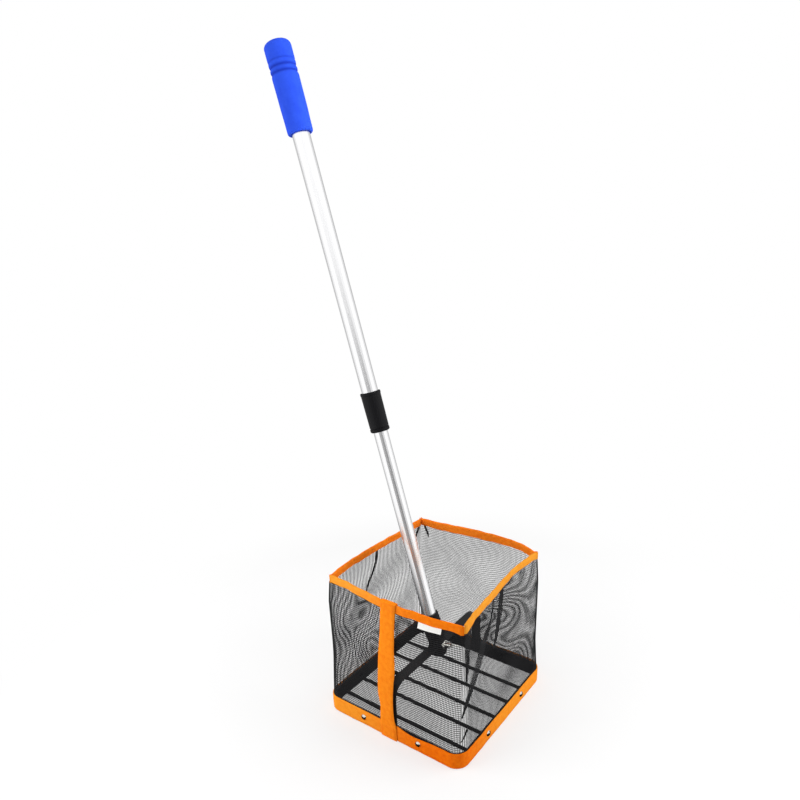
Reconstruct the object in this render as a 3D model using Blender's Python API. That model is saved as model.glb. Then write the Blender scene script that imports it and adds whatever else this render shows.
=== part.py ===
"""Table-tennis ball picker: a square net basket with a barred floor, a steel bail and a telescopic pole.

Units are metres, +Z is up and the basket stands on the plane Z = 0. Seen from above, the basket's
corners are named left (-X -Y), front (+X -Y), right (+X +Y) and back (-X +Y), and each side is named
after the two ways that it faces. The pole hinges on the bail about Y and leans towards -X.
"""

import math

import bmesh
import bpy
import numpy as np
from mathutils import Matrix, Vector

MM = 0.001
GAP = 0.3 * MM

# Base: a steel strip ring, with a webbing band round its outside
BASE_HALF = 128 * MM
BASE_CORNER_R = 22 * MM
BAND_THICK = 1.4 * MM
BAND_BOTTOM = 0.5 * MM
BAND_TOP = 27.5 * MM
FRAME_HALF = 125 * MM
FRAME_THICK = 2 * MM
FRAME_TOP = 25.5 * MM
RIVET_REACH = 52 * MM
RIVET_Z = 15 * MM
RIVET_SHANK_R = 1.9 * MM
RIVET_HEAD_R = 4.8 * MM

# Floor: rubber-covered rods, a little closer together than a 40 mm ball
BAR_COUNT = 5
BAR_PITCH = 41.3 * MM
BAR_MIDDLE_Y = -6 * MM
BAR_R = 2.9 * MM
BAR_TENON_R = 1.8 * MM
BAR_Z = 3.6 * MM

# Net walls, drawn in from the base to a slack hem
NET_THICK = 1 * MM
NET_HALF = 125.8 * MM
NET_BOTTOM = 19.5 * MM
NET_TOP = 238.6 * MM
NET_CORD = 1.6 * MM
NET_COLUMNS = 8
NET_ROWS = 7
NET_BELLY = 3 * MM
CORNER_STEPS = (0.030, 0.047, 0.064)
SEAM_HALF = 2.2 * MM
HEM_CORNERS = {
    "left": (-115 * MM, -110 * MM),
    "front": (121 * MM, -111 * MM),
    "right": (108 * MM, 118 * MM),
    "back": (-117 * MM, 121 * MM),
}
# Side: corner it starts at, corner it ends at, outward bow of its hem, and where along it the bow peaks
SIDES = {
    "front_left": ("left", "front", 11 * MM, 0.55),
    "front_right": ("front", "right", -8 * MM, 0.55),
    "back_right": ("right", "back", 14 * MM, 0.40),
    "back_left": ("back", "left", 8 * MM, 0.65),
}

# Hem: webbing tape folded over the net's upper edge, its ends sewn together into ears at the corners
HEM_BOTTOM = 228 * MM
HEM_TOP = 240 * MM
TAPE_THICK = 0.9 * MM
TAPE_GAP = 0.6 * MM
EAR_LENGTHS = {"left": 4 * MM, "front": 6.5 * MM, "right": 7 * MM, "back": 7 * MM}

# Front strap and bare tape label
STRAP_WIDTH = 26 * MM
STRAP_THICK = 1.4 * MM
STRAP_FOOT_X = -4 * MM
STRAP_HEAD_X = 6 * MM
LABEL_FROM_X = 54.5 * MM
LABEL_TO_X = 90 * MM
LABEL_BOTTOM = 215.5 * MM
LABEL_THICK = 0.8 * MM

# Bail: one flat steel strip bent into an upside-down U
BAIL_WIDTH = 16.4 * MM
BAIL_THICK = 3 * MM
BAIL_EDGE = 0.7 * MM
BAIL_Z = 94 * MM
BAIL_BEND_R = 21 * MM
BAIL_FOOT_Z = 3.5 * MM
LEG_Y = FRAME_HALF - FRAME_THICK - GAP - BAIL_THICK / 2
LEG_RIVET_Z = 13 * MM
SHOE_R = 8.5 * MM
SHOE_HALF_LENGTH = 15 * MM

# Pole: distances along it are measured from its hinge on the bail
POLE_LEAN = math.radians(16.15)
KNUCKLE_BORE_R = SHOE_R + 0.4 * MM
SOCKET_FLOOR = 16 * MM
SOCKET_RIM = 55 * MM
SOCKET_PIN_AT = 36 * MM
SOCKET_PIN_R = 1.9 * MM
LOWER_TUBE_R = 11 * MM
LOWER_TUBE_END = 570 * MM
UPPER_TUBE_R = 12.5 * MM
UPPER_TUBE_START = 396 * MM
UPPER_TUBE_END = 892.5 * MM
TUBE_WALL = 1 * MM
COLLAR_START = 359.5 * MM
COLLAR_END = 420 * MM
COLLAR_R = 15 * MM
GRIP_START = 782.5 * MM
GRIP_END = 898.5 * MM
GRIP_R = 18 * MM
GRIP_GROOVES = (878 * MM, 869 * MM, 860 * MM)
GRIP_GROOVE_WIDTH = 4.4 * MM
GRIP_GROOVE_DEPTH = 0.9 * MM

# Wing screw that locks the hinge
SCREW_R = 3 * MM
SCREW_FLANGE_R = 7 * MM
SCREW_SEAT_X = 13.9 * MM
WING_REACH = 15 * MM
WING_TURN = math.radians(58)

ROUND_STEPS = 28


def clear_scene():
    for old in list(bpy.data.objects):
        bpy.data.objects.remove(old)


def material(name, colour, roughness, metallic=0.0):
    made = bpy.data.materials.new(name)
    made.use_nodes = True
    shader = made.node_tree.nodes["Principled BSDF"]
    shader.inputs["Base Color"].default_value = (*colour, 1)
    shader.inputs["Roughness"].default_value = roughness
    shader.inputs["Metallic"].default_value = metallic
    return made


def empty(name, location, rotation=(0, 0, 0), parent=None):
    made = bpy.data.objects.new(name, None)
    made.location = location
    made.rotation_euler = rotation
    made.parent = parent
    bpy.context.scene.collection.objects.link(made)
    return made


def place(name, mesh, finish, parent, sharp_angle=40):
    """A named object for a mesh, with its own finish, smooth where its faces meet at a low angle."""
    made = bpy.data.objects.new(name, mesh)
    made.parent = parent
    bpy.context.scene.collection.objects.link(made)
    if finish:
        mesh.materials.clear()
        mesh.materials.append(finish)
    mesh.shade_smooth()
    mesh.set_sharp_from_angle(angle=math.radians(sharp_angle))
    return made


def to_mesh(name, shape):
    bmesh.ops.recalc_face_normals(shape, faces=shape.faces)
    if shape.calc_volume(signed=True) < 0:
        bmesh.ops.reverse_faces(shape, faces=shape.faces)
    mesh = bpy.data.meshes.new(name)
    shape.to_mesh(mesh)
    shape.free()
    return mesh


def turned(name, profile, steps=ROUND_STEPS):
    """A solid turned about Z from a closed outline of (radius, height) points."""
    shape = bmesh.new()
    points = [shape.verts.new((radius, 0, height)) for radius, height in profile]
    edges = [shape.edges.new(pair) for pair in zip(points, points[1:])]
    if profile[0][0] > 0 or profile[-1][0] > 0:
        edges.append(shape.edges.new((points[-1], points[0])))
    bmesh.ops.spin(
        shape, geom=points + edges, cent=(0, 0, 0), axis=(0, 0, 1), angle=math.tau, steps=steps,
        use_merge=True,
    )
    bmesh.ops.remove_doubles(shape, verts=shape.verts, dist=1e-6)
    return to_mesh(name, shape)


def lofted(name, sections, closed_path=False):
    """A solid through cross-sections of equally many points, capped at its ends unless its path is closed."""
    shape = bmesh.new()
    rings = [[shape.verts.new(point) for point in section] for section in sections]
    following = rings[1:] + rings[:1] if closed_path else rings[1:]
    for ring, after in zip(rings, following):
        for k in range(len(ring)):
            shape.faces.new((ring[k - 1], ring[k], after[k], after[k - 1]))
    if not closed_path:
        shape.faces.new(rings[0])
        shape.faces.new(rings[-1])
    return to_mesh(name, shape)


def rod_cutter(name, radius, length, parent, location, direction, steps=16):
    """A hidden round cutter of this length, centred on a point and running along a direction."""
    shape = bmesh.new()
    bmesh.ops.create_cone(
        shape, cap_ends=True, segments=steps, radius1=radius, radius2=radius, depth=length
    )
    cutter = place(name, to_mesh(name, shape), None, parent)
    cutter.location = location
    cutter.rotation_euler = facing(direction)
    cutter.hide_render = True
    cutter.display_type = "WIRE"
    return cutter


def facing(direction):
    """The rotation that turns +Z towards a direction."""
    return Vector((0, 0, 1)).rotation_difference(Vector(direction)).to_euler()


def cut(target, cutter):
    hole = target.modifiers.new(cutter.name, "BOOLEAN")
    hole.operation = "DIFFERENCE"
    hole.object = cutter


def arc(centre, radius, start, end, steps):
    """Points on an arc between two angles in degrees."""
    angles = np.radians(np.linspace(start, end, steps + 1))
    return [(centre[0] + radius * math.cos(a), centre[1] + radius * math.sin(a)) for a in angles]


def rounded_square(half, radius, steps=6):
    """A square's outline with round corners, from its front corner round to its left one."""
    outline = []
    for turn, (sx, sy) in enumerate(((1, -1), (1, 1), (-1, 1), (-1, -1))):
        centre = (sx * (half - radius), sy * (half - radius))
        outline += arc(centre, radius, 90 * turn - 90, 90 * turn, steps)
    return outline


def ring_strip(name, half, corner_r, thick, bottom, top):
    """An upright strip bent round a square with round corners; half and corner_r are its outer face's."""
    outer = rounded_square(half, corner_r)
    inner = rounded_square(half - thick, corner_r - thick)
    sections = [
        ((ox, oy, bottom), (ox, oy, top), (ix, iy, top), (ix, iy, bottom))
        for (ox, oy), (ix, iy) in zip(outer, inner)
    ]
    return lofted(name, sections, closed_path=True)


def side_normal(side):
    """The outward direction of a side of the base."""
    return {
        "front_left": Vector((0, -1, 0)),
        "front_right": Vector((1, 0, 0)),
        "back_right": Vector((0, 1, 0)),
        "back_left": Vector((-1, 0, 0)),
    }[side]


def base_curve(side, along):
    """The net's lower edge on one side: straight, with half of a round corner at each end."""
    normal = side_normal(side)
    forward = Vector((-normal.y, normal.x, 0))
    radius = NET_HALF - (BASE_HALF - BASE_CORNER_R)
    straight = NET_HALF - radius
    half_arc = radius * math.pi / 4
    travel = (2 * along - 1) * (straight + half_arc)
    over = max(abs(travel) - straight, 0) / radius
    reach = math.copysign(min(abs(travel), straight) + radius * math.sin(over), travel)
    return forward * reach + normal * (straight + radius * math.cos(over))


def hem_curve(side, along):
    """The net's upper edge on one side, bowed out or in between its two corners."""
    start_name, end_name, bow, peak = SIDES[side]
    start = Vector((*HEM_CORNERS[start_name], 0))
    end = Vector((*HEM_CORNERS[end_name], 0))
    forward = (end - start).normalized()
    normal = Vector((forward.y, -forward.x, 0))
    first = start + (normal + forward) * SEAM_HALF * math.sqrt(0.5)
    last = end + (normal - forward) * SEAM_HALF * math.sqrt(0.5)
    swing = math.sin(math.pi * along ** (math.log(0.5) / math.log(peak)))
    return first.lerp(last, along) + normal * bow * swing


def wall_point(side, along, z):
    """A point of a net wall's middle surface, at a share of its length and a height."""
    rise = min(max((z - BAND_TOP) / (HEM_BOTTOM - BAND_TOP), 0), 1)
    belly = NET_BELLY * math.sin(math.pi * along) * math.sin(math.pi * rise)
    point = base_curve(side, along).lerp(hem_curve(side, along), rise) + side_normal(side) * belly
    return Vector((point.x, point.y, z))


def wall_normal(side, along, z):
    step = 0.01
    ahead = wall_point(side, min(along + step, 1), z) - wall_point(side, max(along - step, 0), z)
    return Vector((ahead.y, -ahead.x, 0)).normalized()


def net_wall(side, finish, parent):
    """One wall of the basket as a lattice of cords, with a solid border where it is sewn in."""
    length = (hem_curve(side, 1) - hem_curve(side, 0)).length
    half_u = NET_CORD / length / 2
    half_z = NET_CORD / 2
    columns = np.linspace(0.006 + half_u, 0.994 - half_u, NET_COLUMNS + 1)
    rows = np.linspace(BAND_TOP, HEM_BOTTOM, NET_ROWS + 1)
    across = [(u + edge, edge < 0) for u in columns for edge in (-half_u, half_u)]
    across += [(u if turn else 1 - u, False) for u in CORNER_STEPS for turn in (0, 1)]
    across.sort()
    up = [z + edge for z in rows for edge in (-half_z, half_z)]
    up[0] = NET_BOTTOM
    up[-1] = NET_TOP
    shape = bmesh.new()
    grid = [[shape.verts.new(wall_point(side, u, z)) for z in up] for u, _ in across]
    for i in range(len(across) - 1):
        starts_cord = across[i][1]
        for j in range(len(up) - 1):
            if starts_cord or j % 2 == 0:
                shape.faces.new((grid[i][j], grid[i + 1][j], grid[i + 1][j + 1], grid[i][j + 1]))
    wall = place("net_" + side, to_mesh("net_" + side, shape), finish, parent)
    thicken = wall.modifiers.new("net_thickness", "SOLIDIFY")
    thicken.thickness = NET_THICK
    thicken.offset = 0


def hem_tape(side, finish, parent):
    """Tape folded over the upper edge of a wall, an open fold downwards, with an ear at each end."""
    inner = NET_THICK / 2 + TAPE_GAP
    outer = inner + TAPE_THICK
    fold = NET_TOP + GAP
    outline = (
        (outer, HEM_BOTTOM), (outer, HEM_TOP), (-outer, HEM_TOP), (-outer, HEM_BOTTOM),
        (-inner, HEM_BOTTOM), (-inner, fold), (inner, fold), (inner, HEM_BOTTOM),
    )
    along = np.linspace(0, 1, 2 * NET_COLUMNS + 1)
    path = [wall_point(side, u, NET_TOP) for u in along]
    normals = [wall_normal(side, u, NET_TOP) for u in along]
    ears = []
    for corner_name, edge, turn in ((SIDES[side][0], 0, 1), (SIDES[side][1], -1, -1)):
        corner = HEM_CORNERS[corner_name]
        out = Vector((math.copysign(1, corner[0]), math.copysign(1, corner[1]), 0)).normalized()
        beside = Vector((-out.y, out.x, 0)) * turn
        ears.append((path[edge] + out * EAR_LENGTHS[corner_name], beside))
        mitre = (normals[edge] + beside).normalized()
        normals[edge] = mitre / mitre.dot(beside)
    path = [ears[0][0], *path, ears[1][0]]
    normals = [ears[0][1], *normals, ears[1][1]]
    sections = [
        [(p.x + n.x * off, p.y + n.y * off, z) for off, z in outline] for p, n in zip(path, normals)
    ]
    place("hem_" + side, lofted("hem_" + side, sections), finish, parent)


def front_strap(finish, parent):
    """Webbing strap down the middle of the front-left wall, over the hem and the base band."""
    proud = STRAP_THICK / 2 + GAP
    over_band = -(BASE_HALF + proud)
    length = (hem_curve("front_left", 1) - hem_curve("front_left", 0)).length
    sections = []
    for z in (BAND_BOTTOM, BAND_TOP, 70 * MM, 120 * MM, 170 * MM, HEM_BOTTOM, HEM_TOP):
        rise = max(z - BAND_TOP, 0) / (HEM_TOP - BAND_TOP)
        x = STRAP_FOOT_X + (STRAP_HEAD_X - STRAP_FOOT_X) * rise
        wall_y = wall_point("front_left", 0.5 + x / length, z).y
        over_net = wall_y - NET_THICK / 2 - TAPE_GAP - TAPE_THICK - proud
        y = over_band if z <= BAND_TOP else over_net
        sections.append(
            [
                (x + across * STRAP_WIDTH / 2, y + deep * STRAP_THICK / 2, z)
                for across, deep in ((-1, -1), (1, -1), (1, 1), (-1, 1))
            ]
        )
    place("front_strap", lofted("front_strap", sections), finish, parent)


def tape_label(finish, parent):
    """A short bare tape that hangs from under the hem, against the net."""
    length = (hem_curve("front_left", 1) - hem_curve("front_left", 0)).length
    middle = (hem_curve("front_left", 1).x + hem_curve("front_left", 0).x) / 2
    near = NET_THICK / 2 + GAP
    sections = []
    for x in np.linspace(LABEL_FROM_X, LABEL_TO_X, 5):
        along = 0.5 + (x - middle) / length
        section = []
        for z, off in (
            (LABEL_BOTTOM, near), (LABEL_BOTTOM, near + LABEL_THICK),
            (HEM_BOTTOM - GAP, near + LABEL_THICK), (HEM_BOTTOM - GAP, near),
        ):
            point = wall_point("front_left", along, z) + wall_normal("front_left", along, z) * off
            section.append((point.x, point.y, z))
        sections.append(section)
    place("label", lofted("label", sections), finish, parent)


def rivet_mesh(name, head_r, shank_r, tail_r, under_head, grip):
    """A domed rivet along Z: its head's seat is at under_head, and its tail is clinched grip below that."""
    rise = 0.55 * head_r
    head = [(head_r * math.cos(a), under_head + rise * math.sin(a)) for a in np.radians((60, 30, 0))]
    head.insert(0, (0, under_head + rise))
    tail_top = under_head - grip
    body = [(shank_r, under_head), (shank_r, tail_top), (tail_r, tail_top), (tail_r, tail_top - 0.9 * MM)]
    return turned(name, head + body + [(0, tail_top - 0.9 * MM)], steps=12)


def base_rivets(frame, band, finish, parent):
    """Two rivets on each side hold the band to the frame."""
    outside = BASE_HALF + GAP
    grip = outside - (FRAME_HALF - FRAME_THICK - GAP)
    mesh = rivet_mesh("base_rivet", RIVET_HEAD_R, RIVET_SHANK_R, 3.2 * MM, outside, grip)
    for side in SIDES:
        normal = side_normal(side)
        forward = Vector((-normal.y, normal.x, 0))
        for end, reach in (("a", -RIVET_REACH), ("b", RIVET_REACH)):
            at = forward * reach + Vector((0, 0, RIVET_Z))
            rivet = place(f"rivet_{side}_{end}", mesh, finish, parent)
            rivet.location = at
            rivet.rotation_euler = facing(normal)
            cutter = rod_cutter(
                f"rivet_hole_{side}_{end}", RIVET_SHANK_R + GAP, 12 * MM, parent,
                at + normal * BASE_HALF, normal, 10,
            )
            cut(frame, cutter)
            cut(band, cutter)


def floor_bars(frame, finish, parent):
    """Rods across the floor, their reduced ends seated in holes of the frame."""
    inside = FRAME_HALF - FRAME_THICK - GAP
    reach = FRAME_HALF - GAP
    profile = [
        (0, reach), (BAR_TENON_R, reach), (BAR_TENON_R, inside), (BAR_R, inside),
        (BAR_R, -inside), (BAR_TENON_R, -inside), (BAR_TENON_R, -reach), (0, -reach),
    ]
    mesh = turned("floor_bar", profile, steps=12)
    for k in range(BAR_COUNT):
        y = BAR_MIDDLE_Y + (k - (BAR_COUNT - 1) / 2) * BAR_PITCH
        bar = place(f"floor_bar_{k + 1}", mesh, finish, parent)
        bar.location = (0, y, BAR_Z)
        bar.rotation_euler = facing((1, 0, 0))
        cutter = rod_cutter(
            f"bar_hole_{k + 1}", BAR_TENON_R + GAP, 2 * BASE_HALF, parent, (0, y, BAR_Z), (1, 0, 0), 12
        )
        cut(frame, cutter)


def bail_path():
    """Points down the middle of the bail's strip in Y and Z, with the outward direction at each."""
    bend = BAIL_BEND_R
    half = [(LEG_Y, BAIL_FOOT_Z, 0.0), (LEG_Y, LEG_RIVET_Z + 12 * MM, 0.0)]
    for angle in np.linspace(0, 90, 8):
        a = math.radians(angle)
        half.append((LEG_Y - bend + bend * math.cos(a), BAIL_Z - bend + bend * math.sin(a), angle))
    half.append((SHOE_HALF_LENGTH, BAIL_Z, 90.0))
    return half + [(-y, z, 180 - angle) for y, z, angle in reversed(half)]


def bail(finish, parent):
    """The flat strip with eased edges, swept along its path."""
    w, t, e = BAIL_WIDTH / 2, BAIL_THICK / 2, BAIL_EDGE
    outline = (
        (-w, e - t), (e - w, -t), (w - e, -t), (w, e - t),
        (w, t - e), (w - e, t), (e - w, t), (-w, t - e),
    )
    sections = []
    for y, z, angle in bail_path():
        out_y, out_z = math.cos(math.radians(angle)), math.sin(math.radians(angle))
        sections.append([(x, y + off * out_y, z + off * out_z) for x, off in outline])
    return place("bail", lofted("bail", sections), finish, parent)


def leg_rivets(strip, frame, finish, parent):
    """One rivet through each foot of the bail and the frame, its head inside the basket."""
    head_seat = LEG_Y - BAIL_THICK / 2 - GAP
    grip = FRAME_HALF + GAP - head_seat
    mesh = rivet_mesh("leg_rivet", 4.5 * MM, 2.4 * MM, 4 * MM, -head_seat, grip)
    for name, way in (("front", -1), ("back", 1)):
        at = Vector((0, 0, LEG_RIVET_Z))
        inward = (0, -way, 0)
        rivet = place("leg_rivet_" + name, mesh, finish, parent)
        rivet.location = at
        rivet.rotation_euler = facing(inward)
        cutter = rod_cutter(
            "leg_hole_" + name, 2.4 * MM + GAP, 16 * MM, parent, at + Vector((0, way * LEG_Y, 0)), inward, 10
        )
        cut(strip, cutter)
        cut(frame, cutter)


def hinge_shoes(finish, parent):
    """Two half-round shoes that make the middle of the flat strip into a round journal."""
    flat = BAIL_THICK / 2 + GAP
    start = math.degrees(math.asin(flat / SHOE_R))
    segment = arc((0, 0), SHOE_R, start, 180 - start, 12)
    for name, way in (("upper", 1), ("lower", -1)):
        sections = [
            [(x, y, BAIL_Z + way * z) for x, z in segment] for y in (-SHOE_HALF_LENGTH, SHOE_HALF_LENGTH)
        ]
        place("hinge_shoe_" + name, lofted("hinge_shoe_" + name, sections), finish, parent)


def knuckle(finish, parent):
    """Moulded socket that holds the pole's foot and turns on the bail."""
    bore_r = LOWER_TUBE_R + GAP
    foot = arc((5.5 * MM, -11 * MM), 8 * MM, -90, 0, 5)
    profile = [(0, -19 * MM), *foot, (13.5 * MM, 12 * MM), (15 * MM, 19 * MM), (15 * MM, 45 * MM)]
    profile += [(13.8 * MM, SOCKET_RIM), (bore_r, SOCKET_RIM), (bore_r, SOCKET_FLOOR), (0, SOCKET_FLOOR)]
    body = place("knuckle", turned("knuckle", profile), finish, parent)
    for name, radius, length, at, direction in (
        ("hinge_bore", KNUCKLE_BORE_R, 40 * MM, (0, 0, 0), (0, 1, 0)),
        ("screw_bore", SCREW_R + GAP, 12 * MM, (12 * MM, 0, 0), (1, 0, 0)),
        ("pin_bore", SOCKET_PIN_R + GAP, 40 * MM, (0, 0, SOCKET_PIN_AT), (0, 1, 0)),
    ):
        cut(body, rod_cutter(name, radius, length, parent, at, direction, 20))


def lower_tube(finish, parent):
    start = SOCKET_FLOOR + GAP
    inner = LOWER_TUBE_R - TUBE_WALL
    profile = [(LOWER_TUBE_R, LOWER_TUBE_END), (LOWER_TUBE_R, start), (inner, start), (inner, LOWER_TUBE_END)]
    tube = place("lower_tube", turned("lower_tube", profile), finish, parent)
    hole = rod_cutter("tube_hole", SOCKET_PIN_R + GAP, 40 * MM, parent, (0, 0, SOCKET_PIN_AT), (0, 1, 0), 12)
    cut(tube, hole)


def socket_pin(finish, parent):
    """Cross rivet that keeps the pole's foot in its socket."""
    seat = 15 * MM + GAP
    dome = [(3.6 * MM * math.cos(a), 2 * MM * math.sin(a)) for a in np.radians((60, 30, 0))]
    upper = [(0, seat + 2 * MM)] + [(r, seat + h) for r, h in dome] + [(SOCKET_PIN_R, seat)]
    profile = upper + [(r, -h) for r, h in reversed(upper)]
    pin = place("socket_pin", turned("socket_pin", profile, steps=12), finish, parent)
    pin.location = (0, 0, SOCKET_PIN_AT)
    pin.rotation_euler = facing((0, 1, 0))


def guide_bush(finish, parent):
    """Plastic plug in the lower tube's upper end, which runs in the bore of the upper tube."""
    plug = LOWER_TUBE_R - TUBE_WALL - GAP
    flange = UPPER_TUBE_R - TUBE_WALL - GAP
    top = LOWER_TUBE_END + 6 * MM
    seat = LOWER_TUBE_END + GAP
    profile = [(0, top), (flange - 0.8 * MM, top), (flange, top - MM), (flange, seat), (plug, seat)]
    profile += [(plug, seat - 16 * MM), (0, seat - 16 * MM)]
    place("guide_bush", turned("guide_bush", profile), finish, parent)


def upper_tube(finish, parent):
    inner = UPPER_TUBE_R - TUBE_WALL
    profile = [
        (UPPER_TUBE_R, UPPER_TUBE_END), (UPPER_TUBE_R, UPPER_TUBE_START),
        (inner, UPPER_TUBE_START), (inner, UPPER_TUBE_END),
    ]
    place("upper_tube", turned("upper_tube", profile), finish, parent)


def top_plug(finish, parent):
    flange = UPPER_TUBE_R - 0.2 * MM
    plug = UPPER_TUBE_R - TUBE_WALL - GAP
    seat = UPPER_TUBE_END + GAP
    profile = [(0, seat + 1.5 * MM), (flange, seat + 1.5 * MM), (flange, seat), (plug, seat)]
    profile += [(plug, seat - 16 * MM), (0, seat - 16 * MM)]
    place("top_plug", turned("top_plug", profile), finish, parent)


def lock_sleeve(finish, parent):
    """Threaded sleeve fixed over the upper tube's lower end, which the collar screws on to."""
    inner = UPPER_TUBE_R + GAP
    outer = inner + MM
    start = UPPER_TUBE_START + 0.5 * MM
    end = COLLAR_END - 3 * MM
    profile = [(outer, end), (outer, start), (inner, start), (inner, end)]
    place("lock_sleeve", turned("lock_sleeve", profile), finish, parent)


def lock_collet(finish, parent):
    """Split, tapered ring that the collar squeezes on to the lower tube."""
    inner = LOWER_TUBE_R + GAP
    top, foot = UPPER_TUBE_START - GAP, COLLAR_START + 8 * MM
    profile = [(13 * MM, top), (13 * MM, top - 10 * MM), (12.2 * MM, foot), (inner, foot), (inner, top)]
    ring = place("lock_collet", turned("lock_collet", profile), finish, parent)
    slit = rod_cutter("collet_slit", 0.8 * MM, 60 * MM, parent, (12 * MM, 0, (top + foot) / 2), (0, 0, 1), 4)
    cut(ring, slit)


def lock_collar(finish, parent):
    """Twist collar of the telescopic lock, with a lip above, a ring below and a tapered seat inside."""
    mouth = LOWER_TUBE_R + 0.5 * MM
    bore = UPPER_TUBE_R + GAP + MM + GAP
    seat = COLLAR_START + 7 * MM
    taper_end = UPPER_TUBE_START - 10 * MM
    lip = COLLAR_END - 4 * MM
    ring = COLLAR_START + 5 * MM
    profile = [
        (bore, COLLAR_END), (COLLAR_R, COLLAR_END), (COLLAR_R + 0.4 * MM, COLLAR_END - 0.6 * MM),
        (COLLAR_R + 0.4 * MM, lip), (COLLAR_R, lip - 0.6 * MM), (COLLAR_R - 0.5 * MM, ring + 1.4 * MM),
        (COLLAR_R - 1.1 * MM, ring + 1.1 * MM), (COLLAR_R - 1.1 * MM, ring + 0.4 * MM),
        (COLLAR_R - 0.2 * MM, ring), (COLLAR_R - 0.2 * MM, COLLAR_START + 1.4 * MM),
        (COLLAR_R - 1.6 * MM, COLLAR_START), (mouth, COLLAR_START), (mouth, seat),
        (12.6 * MM, seat), (13.4 * MM, taper_end), (bore, taper_end + MM),
    ]
    place("lock_collar", turned("lock_collar", profile), finish, parent)


def grip(finish, parent):
    """Foam sleeve with a domed end, two ring grooves near it and a rolled-in lower edge."""
    bore_r = UPPER_TUBE_R + GAP
    bore_end = UPPER_TUBE_END + 2.5 * MM
    roll = 3 * MM
    crown = 7 * MM
    profile = [(0, GRIP_END)]
    profile += [(r, h) for r, h in reversed(arc((GRIP_R - crown, GRIP_END - crown - MM), crown, 0, 90, 5))]
    for middle in GRIP_GROOVES:
        half = GRIP_GROOVE_WIDTH / 2
        for step in np.linspace(-1, 1, 5):
            dip = GRIP_GROOVE_DEPTH * math.cos(step * math.pi / 2)
            profile.append((GRIP_R - dip, middle - step * half))
    profile += arc((GRIP_R - roll, GRIP_START + roll), roll, 0, -90, 3)
    profile += [(bore_r, GRIP_START), (bore_r, bore_end), (0, bore_end)]
    place("grip", turned("grip", profile, steps=32), finish, parent)


def wing_screw(finish, parent):
    """Wing screw along X of its hinge empty: a flanged hub with two flared wings."""
    tip = KNUCKLE_BORE_R + GAP
    profile = [
        (0, 30 * MM), (3.2 * MM, 30 * MM), (4.6 * MM, 17 * MM), (SCREW_FLANGE_R, 16.2 * MM),
        (SCREW_FLANGE_R, SCREW_SEAT_X), (SCREW_R, SCREW_SEAT_X),
        (SCREW_R, tip + MM), (SCREW_R - MM, tip), (0, tip),
    ]
    screw = place("wing_screw", turned("wing_screw", profile, steps=20), finish, parent)
    screw.rotation_euler = facing((1, 0, 0))
    half_thick = 1.3 * MM
    outline = [(-2 * MM, 18.5 * MM), (2 * MM, 18.5 * MM)]
    right = arc((WING_REACH - 4 * MM, 29.5 * MM), 4.5 * MM, -60, 150, 6)
    outline += right + [(3 * MM, 25 * MM), (-3 * MM, 25 * MM)] + [(-x, h) for x, h in reversed(right)]
    wings = place(
        "wing_blades",
        lofted("wing_blades", [[(x, y, h) for x, h in outline] for y in (-half_thick, half_thick)]),
        None,
        parent,
    )
    outwards = facing((1, 0, 0)).to_matrix()
    wings.rotation_euler = (Matrix.Rotation(WING_TURN, 3, "X") @ outwards).to_euler()
    wings.hide_render = True
    wings.display_type = "WIRE"
    join = screw.modifiers.new("wings", "BOOLEAN")
    join.operation = "UNION"
    join.object = wings


def centre_on_box(root):
    """Moves the root so that the whole part's box is centred over the origin, and prints where it went."""
    bpy.context.view_layer.update()
    graph = bpy.context.evaluated_depsgraph_get()
    corners = []
    for made in bpy.context.scene.objects:
        if made.type == "MESH" and not made.hide_render:
            shown = made.evaluated_get(graph)
            corners += [shown.matrix_world @ vertex.co for vertex in shown.data.vertices]
    for axis in (0, 1):
        values = [corner[axis] for corner in corners]
        root.location[axis] -= (min(values) + max(values)) / 2
    print("basket centre at", [round(value / MM, 3) for value in root.location], "mm")


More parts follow.
